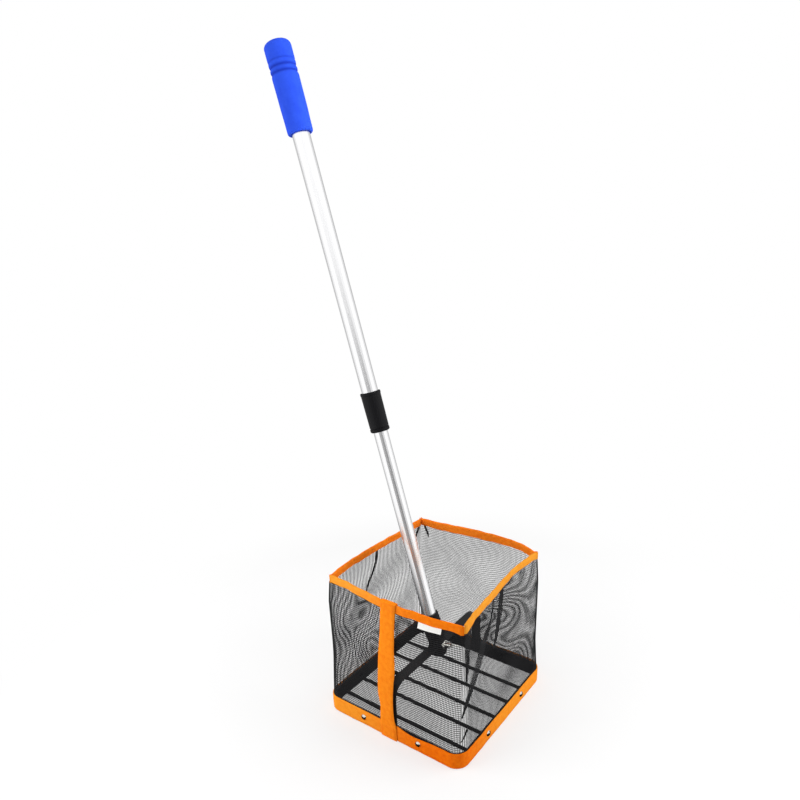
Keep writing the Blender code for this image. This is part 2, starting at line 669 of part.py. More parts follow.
def main():
    clear_scene()
    orange = material("orange_webbing", (0.95, 0.30, 0.02), 0.75)
    net_black = material("black_net", (0.02, 0.02, 0.02), 0.7)
    frame_black = material("black_painted_steel", (0.02, 0.02, 0.022), 0.45)
    rubber_black = material("black_rubber", (0.015, 0.015, 0.015), 0.65)
    bright_steel = material("bright_steel", (0.75, 0.75, 0.76), 0.25, 1.0)
    aluminium = material("satin_aluminium", (0.82, 0.82, 0.84), 0.32, 1.0)
    nylon_black = material("black_nylon", (0.02, 0.02, 0.022), 0.5)
    foam_blue = material("blue_foam", (0.03, 0.09, 0.80), 0.85)
    tape_white = material("white_tape", (0.9, 0.9, 0.9), 0.7)

    basket = empty("basket", (0, 0, 0))
    pole_hinge = empty("pole_hinge", (0, 0, BAIL_Z), (0, -POLE_LEAN, 0), basket)
    pole_slide = empty("pole_slide", (0, 0, 0), parent=pole_hinge)
    screw_hinge = empty("screw_hinge", (0, 0, 0), parent=pole_hinge)
    collar_hinge = empty("collar_hinge", (0, 0, 0), parent=pole_slide)

    frame_mesh = ring_strip(
        "base_frame", FRAME_HALF, BASE_CORNER_R - BASE_HALF + FRAME_HALF, FRAME_THICK, 0, FRAME_TOP
    )
    frame = place("base_frame", frame_mesh, frame_black, basket)
    band_mesh = ring_strip("base_band", BASE_HALF, BASE_CORNER_R, BAND_THICK, BAND_BOTTOM, BAND_TOP)
    band = place("base_band", band_mesh, orange, basket)
    base_rivets(frame, band, bright_steel, basket)
    floor_bars(frame, rubber_black, basket)
    for side in SIDES:
        net_wall(side, net_black, basket)
        hem_tape(side, orange, basket)
    front_strap(orange, basket)
    tape_label(tape_white, basket)
    strip = bail(frame_black, basket)
    leg_rivets(strip, frame, bright_steel, basket)
    hinge_shoes(nylon_black, basket)

    knuckle(nylon_black, pole_hinge)
    lower_tube(aluminium, pole_hinge)
    socket_pin(bright_steel, pole_hinge)
    guide_bush(nylon_black, pole_hinge)
    wing_screw(bright_steel, screw_hinge)
    upper_tube(aluminium, pole_slide)
    top_plug(nylon_black, pole_slide)
    lock_sleeve(nylon_black, pole_slide)
    lock_collet(nylon_black, pole_slide)
    grip(foam_blue, pole_slide)
    lock_collar(nylon_black, collar_hinge)
    centre_on_box(basket)


main()
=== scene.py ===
# %% [markdown]
# # A table-tennis ball picker
#
# A square net basket stands on a steel ring with bars across its floor. Balls squeeze up between the
# rubber-covered bars and stay in the basket. A flat steel bail carries a two-part aluminium pole, which
# tilts on the bail and slides in and out of itself under a twist collar.
#
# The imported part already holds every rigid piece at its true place. This lesson loads it, gives each of
# those pieces a finish, and makes the soft goods again as what they are: net, tape, webbing and foam.

import math

import bmesh
import bpy
import numpy as np
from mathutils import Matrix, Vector


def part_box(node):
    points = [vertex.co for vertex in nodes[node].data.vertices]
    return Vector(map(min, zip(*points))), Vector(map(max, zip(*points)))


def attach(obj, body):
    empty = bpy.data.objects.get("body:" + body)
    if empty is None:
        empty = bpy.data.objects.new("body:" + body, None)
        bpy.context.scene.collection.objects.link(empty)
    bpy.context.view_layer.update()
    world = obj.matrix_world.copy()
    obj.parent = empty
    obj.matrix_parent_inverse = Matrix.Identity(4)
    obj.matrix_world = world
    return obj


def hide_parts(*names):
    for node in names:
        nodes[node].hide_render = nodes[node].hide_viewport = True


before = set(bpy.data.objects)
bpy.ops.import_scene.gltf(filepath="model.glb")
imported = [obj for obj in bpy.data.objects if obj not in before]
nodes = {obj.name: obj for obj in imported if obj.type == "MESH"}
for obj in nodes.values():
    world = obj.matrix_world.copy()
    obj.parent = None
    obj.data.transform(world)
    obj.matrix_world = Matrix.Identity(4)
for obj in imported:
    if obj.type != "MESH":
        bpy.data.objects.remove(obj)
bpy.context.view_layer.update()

# %% [markdown]
# The basket's own middle is the handiest place to measure from, and the base frame is square about it.
# Sizes below are in millimetres from that point, because that is how a maker would note them. The pole
# leans towards -X, so a second set of axes runs along it from its hinge.

# %% Two sets of axes
MM = 0.001
low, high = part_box("base_frame")
CENTRE = np.array(((low.x + high.x) / 2, (low.y + high.y) / 2, 0))
LEAN, HINGE_UP = math.radians(16.15), 94
HINGE = CENTRE + np.array((0, 0, HINGE_UP * MM))
POLE = np.array((-math.sin(LEAN), 0, math.cos(LEAN)))
ACROSS = np.array((math.cos(LEAN), 0, math.sin(LEAN)))


def at(points):
    """Points in millimetres from the basket's middle, as metres in the part's frame."""
    return np.asarray(points, float) * MM + CENTRE


print("basket middle at", CENTRE.round(4), "hinge at", HINGE.round(4))

# %% [markdown]
# ## Camera
# The photograph looks down on the basket from between its front-left and front-right sides. Its angle,
# distance and lens were found from the base, whose four corners are square to each other in reality.
# The picture was cut from a larger one, so the lens's middle isn't the picture's: that is what the two
# shifts are for.

# %% Camera
CAMERA_AT = (516.4, -736.2, 750.2)
CAMERA_AZIMUTH, CAMERA_ELEVATION = 33.0838, 21.8661
FOCAL_PIXELS, MIDDLE_X, MIDDLE_Y, PICTURE = 663.717, 456.4885, 475.0978, 800

lens = bpy.data.cameras.new("camera")
lens.sensor_width = 36
lens.lens = FOCAL_PIXELS / PICTURE * lens.sensor_width
lens.shift_x = (PICTURE / 2 - MIDDLE_X) / PICTURE
lens.shift_y = (MIDDLE_Y - PICTURE / 2) / PICTURE
lens.clip_start = 0.01
camera = bpy.data.objects.new("camera", lens)
camera.location = at(CAMERA_AT)
camera.rotation_euler = (math.radians(90 - CAMERA_ELEVATION), 0, math.radians(CAMERA_AZIMUTH))
bpy.context.scene.collection.objects.link(camera)
bpy.context.scene.camera = camera
print("camera lens", round(lens.lens, 2), "mm, shifts", round(lens.shift_x, 4), round(lens.shift_y, 4))

# %% [markdown]
# ## Colours and nodes
# Colours are written as the hex values that a paint program shows. Blender's shaders work in linear
# light, so one function turns the first into the second. A second small function adds a node, sets it
# and links it, which keeps each finish below short enough to read at a glance.

# %% Helpers for finishes


def linear(hex_colour):
    """An sRGB hex colour as linear red, green, blue and alpha."""
    parts = [int(hex_colour[k : k + 2], 16) / 255 for k in (1, 3, 5)]
    return (*[p / 12.92 if p <= 0.04045 else ((p + 0.055) / 1.055) ** 2.4 for p in parts], 1.0)


def add(tree, kind, links=None, **settings):
    """A node of this kind. links maps its input sockets to values or to other nodes' outputs."""
    made = tree.nodes.new(kind)
    for name, value in settings.items():
        setattr(made, name, value)
    for socket, value in (links or {}).items():
        if isinstance(value, bpy.types.NodeSocket):
            tree.links.new(value, made.inputs[socket])
        else:
            made.inputs[socket].default_value = value
    return made


def start_finish(name, hex_colour, roughness, metallic=0.0, **sockets):
    """A Principled material, with its node tree and its shader."""
    made = bpy.data.materials.new(name)
    made.use_nodes = True
    shader = made.node_tree.nodes["Principled BSDF"]
    shader.inputs["Base Color"].default_value = linear(hex_colour)
    shader.inputs["Roughness"].default_value = roughness
    shader.inputs["Metallic"].default_value = metallic
    for socket, value in sockets.items():
        shader.inputs[socket.replace("_", " ")].default_value = value
    return made, made.node_tree, shader


def per(millimetres):
    """The texture scale at which one cell of a noise is this wide."""
    return 1 / (millimetres * MM)


def bands(millimetres):
    """The Wave texture scale at which its bands are this far apart."""
    return 0.314159 / (millimetres * MM)


print("orange", [round(c, 3) for c in linear("#FF8C14")])

# %% [markdown]
# ## Light and floor
# The world is an even fill, and white where the camera sees it. Reflections see a studio instead: white
# all round, with a soft grey zone low in front and another behind. A bright tube needs such zones. The
# front one draws a soft darker line down its middle, and the one behind shades its two edges.

# %% World
FILL = 0.47
FRONT = (0.685, -0.73, 0.0)
LEANING_UP = (-0.14, -0.14, 1.0)  # the front zone's upper edge leans along with the pole
STUDIO_WHITE, FRONT_GREY, BEHIND_GREY = 1.2, 0.93, 0.62
FRONT_EDGE, BEHIND_EDGE, UPPER_EDGE = (0.74, 0.98), (0.1, -0.75), (0.31, 0.12)  # no grey to full grey
SOFT = {"interpolation_type": "SMOOTHSTEP"}


def spans(value, before, after):
    """Links for a Map Range node: one span of values becomes another."""
    sockets = ("From Min", "From Max", "To Min", "To Max")
    return {"Value": value, **dict(zip(sockets, (*before, *after)))}


def studio(tree, heading, low_down):
    """How bright reflections find the studio in a direction; low_down is 1 near the floor and 0 high up."""
    facing = add(tree, "ShaderNodeVectorMath", {0: heading, 1: FRONT}, operation="DOT_PRODUCT")
    toward = facing.outputs["Value"]
    front = add(tree, "ShaderNodeMapRange", spans(toward, FRONT_EDGE, (0.0, FRONT_GREY)), **SOFT).outputs[0]
    rear = spans(toward, BEHIND_EDGE, (0.0, BEHIND_GREY))
    behind = add(tree, "ShaderNodeMapRange", rear, **SOFT).outputs[0]
    front = add(tree, "ShaderNodeMath", {0: front, 1: low_down}, operation="MULTIPLY").outputs[0]
    greys = add(tree, "ShaderNodeMath", {0: front, 1: behind}, operation="ADD").outputs[0]
    return add(tree, "ShaderNodeMath", {0: STUDIO_WHITE, 1: greys}, operation="SUBTRACT").outputs[0]


world = bpy.data.worlds.new("white_sweep")
world.use_nodes = True
tree = world.node_tree
rays = add(tree, "ShaderNodeLightPath").outputs
heading = add(tree, "ShaderNodeTexCoord").outputs["Generated"]
height = add(tree, "ShaderNodeVectorMath", {0: heading, 1: LEANING_UP}, operation="DOT_PRODUCT")
low_down = add(tree, "ShaderNodeMapRange", spans(height.outputs["Value"], UPPER_EDGE, (0.0, 1.0)), **SOFT)
mirrored = studio(tree, heading, low_down.outputs[0])
gloss = add(tree, "ShaderNodeMapRange", spans(rays["Is Glossy Ray"], (0.0, 1.0), (FILL, mirrored)))
seen = {0: rays["Is Camera Ray"], 1: rays["Is Transmission Ray"]}
white = add(tree, "ShaderNodeMath", seen, operation="MAXIMUM").outputs[0]
level = add(tree, "ShaderNodeMapRange", spans(white, (0.0, 1.0), (gloss.outputs[0], 1.0)))
background = tree.nodes["Background"]
background.inputs["Color"].default_value = (1, 1, 1, 1)
tree.links.new(level.outputs[0], background.inputs["Strength"])
bpy.context.scene.world = world
print("world fill", FILL, "and a grey of", round(STUDIO_WHITE - FRONT_GREY, 2), "in front, in reflections")

# %% [markdown]
# The floor is white paper. Close to the basket it is lit paper and takes the shadow; further out, where
# the lamps fall off, it turns into a plain white glow for the camera, so that no horizon shows. A part of
# that glow is there all over, as in a picture that was cut out and laid on white. Reflections find the
# studio's grey zones on the floor too, and the paper right round the basket dark: that gives the rivets a
# dark lower half beside their bright one.

# %% Floor
LIT_TO_GLOWING_M, LEAST_GLOW = (0.32, 0.75), 0.62
DARK_TO_BRIGHT_M = (0.12, 0.72)  # in reflections
PAPER_M, PAPER_DOWN_MM = 14, 0.4
paper, tree, shader = start_finish("white_paper_sweep", "#ECECEC", 0.9, Specular_IOR_Level=0.1)
rays = add(tree, "ShaderNodeLightPath").outputs
place = add(tree, "ShaderNodeTexCoord").outputs["Object"]
reach = add(tree, "ShaderNodeVectorMath", {0: place}, operation="LENGTH").outputs["Value"]
heading = add(tree, "ShaderNodeVectorMath", {0: place}, operation="NORMALIZE").outputs["Vector"]
shaded = add(tree, "ShaderNodeMapRange", spans(reach, DARK_TO_BRIGHT_M, (0.0, 1.0)), **SOFT).outputs[0]
found = studio(tree, heading, 1.0)
mirrored = add(tree, "ShaderNodeMath", {0: found, 1: shaded}, operation="MULTIPLY").outputs[0]
strength = add(tree, "ShaderNodeMapRange", spans(rays["Is Glossy Ray"], (0.0, 1.0), (1.0, mirrored)))
plain = add(tree, "ShaderNodeEmission", {"Color": (1, 1, 1, 1), "Strength": strength.outputs[0]})
away = add(tree, "ShaderNodeMapRange", spans(reach, LIT_TO_GLOWING_M, (0.0, 1.0)), **SOFT).outputs[0]
away = add(tree, "ShaderNodeMath", {0: away, 1: LEAST_GLOW}, operation="MAXIMUM").outputs[0]
glow = add(tree, "ShaderNodeMath", {0: away, 1: rays["Is Camera Ray"]}, operation="MULTIPLY").outputs[0]
share = add(tree, "ShaderNodeMath", {0: glow, 1: rays["Is Glossy Ray"]}, operation="MAXIMUM").outputs[0]
both = add(tree, "ShaderNodeMixShader", {0: share, 1: shader.outputs[0], 2: plain.outputs[0]})
tree.links.new(both.outputs[0], tree.nodes["Material Output"].inputs["Surface"])
bpy.ops.mesh.primitive_plane_add(size=PAPER_M, location=at((0, 0, -PAPER_DOWN_MM)))
floor = bpy.context.object
floor.name = "floor"
floor.data.materials.append(paper)
print("floor paper lit within", LIT_TO_GLOWING_M[0], "m")

# %% [markdown]
# Two large softboxes stand left and right of the basket, and nothing bright stands behind the camera. So
# both front sides are lit, while the corner between them, which faces the camera, stays deeper. A third
# hangs overhead, and a small one with a grid lights the grip from the right. Reflections see the studio
# only, and not the lamps, which would print hard squares on the tube.

# %% Softboxes


def softbox(name, place, width, watts, target=(-40, 0, 260), spread=180):
    """A square lamp at a place in millimetres, turned to a target; a grid may narrow its spread."""
    lamp = bpy.data.lights.new(name, "AREA")
    lamp.size = width * MM
    lamp.energy = watts
    lamp.spread = math.radians(spread)
    made = bpy.data.objects.new(name, lamp)
    made.visible_glossy = False
    made.location = at(place)
    aim = Vector(at(target)) - made.location
    made.rotation_euler = aim.to_track_quat("-Z", "Y").to_euler()
    bpy.context.scene.collection.objects.link(made)
    print(name, watts, "W")


softbox("left_softbox", (-760, -860, 720), 900, 11.5)
softbox("right_softbox", (980, 520, 760), 900, 11)
softbox("top_softbox", (-150, 150, 2300), 1600, 12)
softbox("grip_softbox", (740, 50, 1000), 400, 0.85, target=(-200, 0, 930), spread=50)

# %% [markdown]
# ## Finishes of the metal pieces
# The tubes are drawn aluminium with a satin anodised skin. Drawing leaves faint lines along the tube, so
# the noise that breaks up the roughness is stretched along the pole: first the coordinates are turned
# into the pole's axes, then they are scaled. Most finishes below end in the same way as this one: a
# pattern makes the gloss uneven and lifts the surface a little, so one function does both.

# %% Satin anodised aluminium


def roughen(tree, shader, pattern, gloss, relief=None, contrast=(0.0, 1.0)):
    """A pattern varies the roughness between two values; relief is a bump's strength and millimetres."""
    uneven = add(tree, "ShaderNodeMapRange", spans(pattern, contrast, gloss))
    tree.links.new(uneven.outputs[0], shader.inputs["Roughness"])
    if relief:
        strength, millimetres = relief
        lifted = {"Height": pattern, "Strength": strength, "Distance": millimetres * MM}
        tree.links.new(add(tree, "ShaderNodeBump", lifted).outputs[0], shader.inputs["Normal"])


DRAW_LINE_MM, DRAW_RUN_MM = 0.35, 45
tube_finish, tree, shader = start_finish("aluminium_drawn_satin_anodised", "#F1F1F2", 0.26, 1.0)
place = add(tree, "ShaderNodeTexCoord").outputs["Object"]
turned = add(tree, "ShaderNodeMapping", {"Vector": place, "Rotation": (0, LEAN, 0)}).outputs[0]
stretch = (per(DRAW_LINE_MM), per(DRAW_LINE_MM), per(DRAW_RUN_MM))
drawn = add(tree, "ShaderNodeMapping", {"Vector": turned, "Scale": stretch}).outputs[0]
lines = add(tree, "ShaderNodeTexNoise", {"Vector": drawn, "Scale": 1.0, "Detail": 3.0}).outputs["Fac"]
roughen(tree, shader, lines, (0.20, 0.32), (0.06, 0.2), contrast=(0.3, 0.7))
print(tube_finish.name)

# %% [markdown]
# The frame and the bail are mild steel with a black powder coat. Powder flows as it bakes, and leaves a
# slight orange peel of about a millimetre, so its highlights are broken and never mirror-like.

# %% Powder coat
PEEL_MM = 1.1
coat_finish, tree, shader = start_finish("steel_black_powder_coat", "#111112", 0.36, Specular_IOR_Level=0.28)
place = add(tree, "ShaderNodeTexCoord").outputs["Object"]
peel = add(tree, "ShaderNodeTexNoise", {"Vector": place, "Scale": per(PEEL_MM), "Detail": 2.0})
roughen(tree, shader, peel.outputs["Fac"], (0.30, 0.46), (0.25, 0.2))
print(coat_finish.name)

# %% [markdown]
# The rivets are nickel plated. Their beaten tails, inside the basket, are painted dark grey as painted shade.
# Both ends are one solid, so the place decides: a tail lies nearer to the basket's middle than a head. The
# wing screw is zinc plated, which is a little duller than nickel and mottled.

# %% Nickel and zinc
NICKEL_GRAIN_MM, ZINC_SPANGLE_MM = 0.8, 1.6
NICKEL, SHADED_TAIL_GREY = "#D9D8D3", "#3A3A3C"
TAIL_WITHIN_M = 0.1255  # a rivet's tail lies closer than this to the basket's middle
nickel_finish, tree, shader = start_finish("steel_nickel_plated", NICKEL, 0.16, 1.0)
place = add(tree, "ShaderNodeTexCoord").outputs["Object"]
grain = add(tree, "ShaderNodeTexNoise", {"Vector": place, "Scale": per(NICKEL_GRAIN_MM), "Detail": 3.0})
roughen(tree, shader, grain.outputs["Fac"], (0.08, 0.2))
inwards = add(tree, "ShaderNodeVectorMath", {0: place, 1: tuple(CENTRE)}, operation="SUBTRACT")
sides = add(tree, "ShaderNodeVectorMath", {0: inwards.outputs[0]}, operation="ABSOLUTE")
parts = add(tree, "ShaderNodeSeparateXYZ", {0: sides.outputs[0]}).outputs
outermost = add(tree, "ShaderNodeMath", {0: parts["X"], 1: parts["Y"]}, operation="MAXIMUM")
# Painted shade: the tails, within the basket, take a dark grey in place of the nickel.
tail = add(tree, "ShaderNodeMath", {0: outermost.outputs[0], 1: TAIL_WITHIN_M}, operation="LESS_THAN")
tones = {"Factor": tail.outputs[0], "A": linear(NICKEL), "B": linear(SHADED_TAIL_GREY)}
tone = add(tree, "ShaderNodeMix", tones, data_type="RGBA")
tree.links.new(tone.outputs["Result"], shader.inputs["Base Color"])

zinc_finish, tree, shader = start_finish("steel_bright_zinc_plated", "#E9E7E1", 0.2, 1.0)
place = add(tree, "ShaderNodeTexCoord").outputs["Object"]
spangle = add(tree, "ShaderNodeTexNoise", {"Vector": place, "Scale": per(ZINC_SPANGLE_MM), "Detail": 4.0})
roughen(tree, shader, spangle.outputs["Fac"], (0.12, 0.28), (0.12, 0.3))
print(nickel_finish.name, zinc_finish.name)

# %% [markdown]
# ## Finishes of the moulded pieces
# The knuckle, the collar and the hidden lock pieces are black nylon, moulded in a tool with a fine spark
# texture, which spreads every highlight. The floor bars wear a matt rubber sleeve, duller still. The two
# are made alike, so one loop makes both.

# %% Nylon and rubber
MOULDED = (  # name, colour, typical roughness, gloss, width and detail of its texture, roughness span, relief
    ("nylon_black_spark_textured", "#101012", 0.46, 0.13, 0.5, 3.0, (0.38, 0.56), (0.20, 0.2)),
    ("rubber_black_matt_sleeve", "#0B0B0C", 0.62, 0.18, 0.7, 2.0, (0.52, 0.74), (0.15, 0.2)),
)
moulded = []
for name, colour, roughness, gloss, texture_mm, detail, uneven, relief in MOULDED:
    finish, tree, shader = start_finish(name, colour, roughness, Specular_IOR_Level=gloss)
    place = add(tree, "ShaderNodeTexCoord").outputs["Object"]
    skin = add(tree, "ShaderNodeTexNoise", {"Vector": place, "Scale": per(texture_mm), "Detail": detail})
    roughen(tree, shader, skin.outputs["Fac"], uneven, relief)
    moulded.append(finish)
    print(finish.name)
nylon_finish, rubber_finish = moulded

# %% [markdown]
# ## Finishes of the soft pieces
# Polyester webbing is woven tightly, with ribs across the tape and fine warp lines along it. The tape
# pieces below carry a map in metres, along and across the tape, so both sets of lines follow every bend.
# Real ribs are about 1.2 mm apart, which this picture can hardly show; they are drawn 1.6 mm apart. The
# orange isn't even, and that is painted light and shade: towards the left and right corners, and along the
# front-right hem, where the lamps fall, it is painted a yellower orange; the lengths behind and the front
# corner, which lie in shade, are painted a deeper orange.

# %% Woven webbing
RIB_MM, WARP_MM, MOTTLE_MM = 1.6, 1.3, 7
LIT_SIDES_M, LIT_SIDES_SHIFT_M = (0.015, 0.120), 0.025  # how far out the painted light starts and ends; its middle lies left
SIDEWAYS = (math.sqrt(0.5), math.sqrt(0.5), 0)  # from the left corner to the right one


def webbing(name, *dyes_and_lit_tones):
    """A woven finish in a bright and a deep dye; a yellower pair towards the side corners is painted light.
    """
    made, tree, shader = start_finish(name, dyes_and_lit_tones[0][0], 0.8, Specular_IOR_Level=0.03)
    weave_map = add(tree, "ShaderNodeUVMap", uv_map="weave").outputs[0]
    lines = {"Vector": weave_map, "Distortion": 0.4, "Detail": 1.0}
    ribs = add(tree, "ShaderNodeTexWave", {**lines, "Scale": bands(RIB_MM)}, bands_direction="X")
    warp = add(tree, "ShaderNodeTexWave", {**lines, "Scale": bands(WARP_MM)}, bands_direction="Y")
    crossed = {0: ribs.outputs["Fac"], 1: warp.outputs["Fac"]}
    weave = add(tree, "ShaderNodeMath", crossed, operation="MULTIPLY").outputs[0]
    cloud = add(tree, "ShaderNodeTexNoise", {"Vector": weave_map, "Scale": per(MOTTLE_MM), "Detail": 4.0})
    mixed = add(tree, "ShaderNodeMath", {0: weave, 1: cloud.outputs["Fac"]}, operation="ADD").outputs[0]
    tone = add(tree, "ShaderNodeMapRange", spans(mixed, (0.3, 1.0), (0.0, 1.0))).outputs[0]
    shades = []
    for bright, deep in dyes_and_lit_tones:
        tones = {"Factor": tone, "A": linear(deep), "B": linear(bright)}
        shades.append(add(tree, "ShaderNodeMix", tones, data_type="RGBA").outputs["Result"])
    # Painted light: towards the left and right corners, where the lamps fall, the second, yellower pair takes
    # over.
    if len(shades) > 1:
        place = add(tree, "ShaderNodeTexCoord").outputs["Object"]
        across = add(tree, "ShaderNodeVectorMath", {0: place, 1: SIDEWAYS}, operation="DOT_PRODUCT")
        middle = (CENTRE[0] + CENTRE[1]) * math.sqrt(0.5) - LIT_SIDES_SHIFT_M
        offset = add(tree, "ShaderNodeMath", {0: across.outputs["Value"], 1: middle}, operation="SUBTRACT")
        distance = add(tree, "ShaderNodeMath", {0: offset.outputs[0]}, operation="ABSOLUTE").outputs[0]
        lit_sides = add(tree, "ShaderNodeMapRange", spans(distance, LIT_SIDES_M, (0.0, 1.0)), **SOFT).outputs[0]
        tones = {"Factor": lit_sides, "A": shades[0], "B": shades[1]}
        shades = [add(tree, "ShaderNodeMix", tones, data_type="RGBA").outputs["Result"]]
    tree.links.new(shades[0], shader.inputs["Base Color"])
    relief = add(tree, "ShaderNodeBump", {"Height": weave, "Strength": 0.35, "Distance": 0.4 * MM})
    tree.links.new(relief.outputs[0], shader.inputs["Normal"])
    print(made.name)
    return made


webbing_finish = webbing("polyester_webbing_orange_woven", ("#F99420", "#E5690A"))
# The band and the hem tape carry painted light and shade: deep near the front corner, yellower towards the
# lit side corners.
band_finish = webbing("polyester_webbing_orange_painted_lit_sides", ("#F27C0C", "#D65202"), ("#F69E30", "#E68116"))
tape_finish = webbing("polyester_tape_orange_painted_lit_sides", ("#F68614", "#DE5C04"), ("#F0A03A", "#E2841E"))
# Painted shade: a deeper copy of the hem tape for the two back hems, which are seen from inside.
shaded_hem_finish = webbing("polyester_tape_orange_painted_shade", ("#F68B26", "#E3620E"))
# Painted light: a yellower copy of the hem tape for the front-right hem, which the right softbox lights.
lit_hem_finish = webbing("polyester_tape_orange_painted_lit", ("#E79F38", "#DB831E"))
label_finish = webbing("polyester_tape_white_woven", ("#F7F7F4", "#E6E6E2"))

# %% [markdown]
# The net is knitted from black polyester yarn, which is slightly glossy and never quite black. The foam
# grip is closed-cell EVA: its cut skin shows fine open cells, and it has no gloss to speak of. In its
# grooves the blue is painted deeper, as painted shade.

# %% Net yarn and foam
FUZZ_MM, FOAM_CELL_MM, FOAM_CLOUD_MM = 3, 1.1, 14
net_finish, tree, shader = start_finish("polyester_net_yarn_black", "#18181A", 0.6, Specular_IOR_Level=0.25)
place = add(tree, "ShaderNodeTexCoord").outputs["Object"]
fuzz = add(tree, "ShaderNodeTexNoise", {"Vector": place, "Scale": per(FUZZ_MM), "Detail": 2.0})
tones = {"Factor": fuzz.outputs["Fac"], "A": linear("#101012"), "B": linear("#202022")}
tone = add(tree, "ShaderNodeMix", tones, data_type="RGBA")
tree.links.new(tone.outputs["Result"], shader.inputs["Base Color"])

foam_finish, tree, shader = start_finish("eva_foam_blue_skived", "#284BDF", 0.85, Specular_IOR_Level=0.15)
place = add(tree, "ShaderNodeTexCoord").outputs["Object"]
cells = add(tree, "ShaderNodeTexVoronoi", {"Vector": place, "Scale": per(FOAM_CELL_MM)}).outputs["Distance"]
blotches = {"Vector": place, "Scale": per(FOAM_CLOUD_MM), "Detail": 6.0, "Roughness": 0.75}
cloud = add(tree, "ShaderNodeTexNoise", blotches).outputs["Fac"]
blues = {"Factor": cloud, "A": linear("#1E3DC1"), "B": linear("#2F56D8")}
blue = add(tree, "ShaderNodeMix", blues, data_type="RGBA").outputs["Result"]
# Painted shade: the deeper the groove, the deeper the blue.
pressed = add(tree, "ShaderNodeAttribute", attribute_name="pressed").outputs["Fac"]
tones = {"Factor": pressed, "A": blue, "B": linear("#1731A3")}
tone = add(tree, "ShaderNodeMix", tones, data_type="RGBA")
tree.links.new(tone.outputs["Result"], shader.inputs["Base Color"])
relief = add(tree, "ShaderNodeBump", {"Height": cells, "Strength": 0.4, "Distance": 0.3 * MM})
tree.links.new(relief.outputs[0], shader.inputs["Normal"])
print(net_finish.name, foam_finish.name)

# %% [markdown]
# ## Dress the rigid pieces
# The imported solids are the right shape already, so they only need their finish.

# %% Finish each rigid node


def dress(finish, *names):
    """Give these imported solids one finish."""
    for name in names:
        nodes[name].data.materials.clear()
        nodes[name].data.materials.append(finish)


rivets = [name for name in nodes if name.startswith("rivet_")]
bars = [name for name in nodes if name.startswith("floor_bar_")]
lock_pieces = ("lock_collar", "lock_sleeve", "lock_collet", "guide_bush", "top_plug")
hinge_pieces = ("knuckle", "hinge_shoe_upper", "hinge_shoe_lower")
dress(tube_finish, "lower_tube", "upper_tube")
dress(coat_finish, "base_frame", "bail", "leg_rivet_front", "leg_rivet_back")
dress(nickel_finish, "socket_pin", *rivets)
dress(zinc_finish, "wing_screw")
dress(rubber_finish, *bars)
dress(nylon_finish, *hinge_pieces, *lock_pieces)
print("finished", len(rivets), "rivets and", len(bars), "bars among the rigid nodes")

# %% [markdown]
# ## The walls' surface
# Each net wall runs from the round-cornered base up to a slack hem, whose four sides bow out or in. The
# hem is gathered a little tighter than the net, which bulges out under it at the left and right corners.
# It isn't level either: it rides up and down along each side, and its tape hangs deeper in places.

# %% Wall sizes
NET_HALF, STRAIGHT = 125.8, 106.0
BAND_TOP, HEM_BOTTOM, NET_TOP = 27.5, 228.0, 238.6
NET_BELLY, SEAM_HALF = 3.0, 2.2
HEM_CORNERS = {"left": (-115, -110), "front": (121, -111), "right": (108, 118), "back": (-117, 121)}
OUTWARD = {"front_left": (0, -1), "front_right": (1, 0), "back_right": (0, 1), "back_left": (-1, 0)}
SIDES = {  # side: its first and last corner, how far its hem bows out, and where along it the bow peaks
    "front_left": ("left", "front", 11, 0.55),
    "front_right": ("front", "right", -8, 0.55),
    "back_right": ("right", "back", 14, 0.40),
    "back_left": ("back", "left", 8, 0.65),
}
CORNER_BULGE = {  # corner: heights, and how far the net stands out there
    "left": ((27, 100, 124, 160, 196, 228, 230), (0, 0, 1.0, 3.4, 5.8, 4.6, 0)),
    "right": ((27, 80, 114, 152, 189, 228, 230), (0, 0, 2.2, 4.5, 6.6, 6.0, 0)),
}
BULGE_SHARE = 0.14  # of a wall's length, over which a bulge fades
HEM_SHAPE = {  # side: share along it, how far its hem rides up there, and how much deeper the tape hangs
    "front_left": (
        (0, 0, 0), (0.15, 1.8, -1.0), (0.21, 2.1, -0.5), (0.33, 1.5, 0.3), (0.40, 0, 0.3),
        (0.56, -0.3, 0), (0.68, 0.4, 0), (0.76, -1.4, 0.3), (0.80, -2.2, 0.3), (0.85, -1.5, 0.3),
        (0.90, -0.8, -0.5), (0.97, -1.1, 0), (1, -0.8, 3.0),
    ),
    "front_right": (
        (0, 0.4, 3.2), (0.035, 2.0, 2.4), (0.14, 3.0, -1.0), (0.24, 1.7, -0.5), (0.35, -1.4, 0),
        (0.46, -0.7, 0), (0.56, 0.2, -1.2), (0.66, 1.4, -2.6), (0.76, 1.8, -2.2), (0.85, 2.5, -1.4),
        (0.95, 1.8, -0.6), (1, 0.5, -0.3),
    ),
    "back_right": (
        (0, 0.8, 0), (0.04, 2.6, 0), (0.11, 3.2, -0.3), (0.17, 2.9, 0), (0.24, 2.2, 0.6),
        (0.30, 2.4, 1.3), (0.36, 2.1, 1.5), (0.48, 1.6, 2.2), (0.60, 0, 2.2), (0.78, -0.1, 1.6),
        (0.91, -0.7, 1.1), (0.97, 0, 0), (1, 0, 0),
    ),
    "back_left": (
        (0, 0, 0), (0.04, 0, 0), (0.28, -1.8, -1.4), (0.36, -1.4, -0.9), (0.44, -2.2, -1.3),
        (0.51, -2.9, -1.2), (0.58, -2.2, -0.3), (0.66, -1.7, -0.6), (0.73, -2.0, -1.0),
        (0.81, -1.6, -1.4), (0.92, -0.8, -0.6), (1, 0, 0),
    ),
}
print("walls", BAND_TOP, "to", HEM_BOTTOM, "mm high")

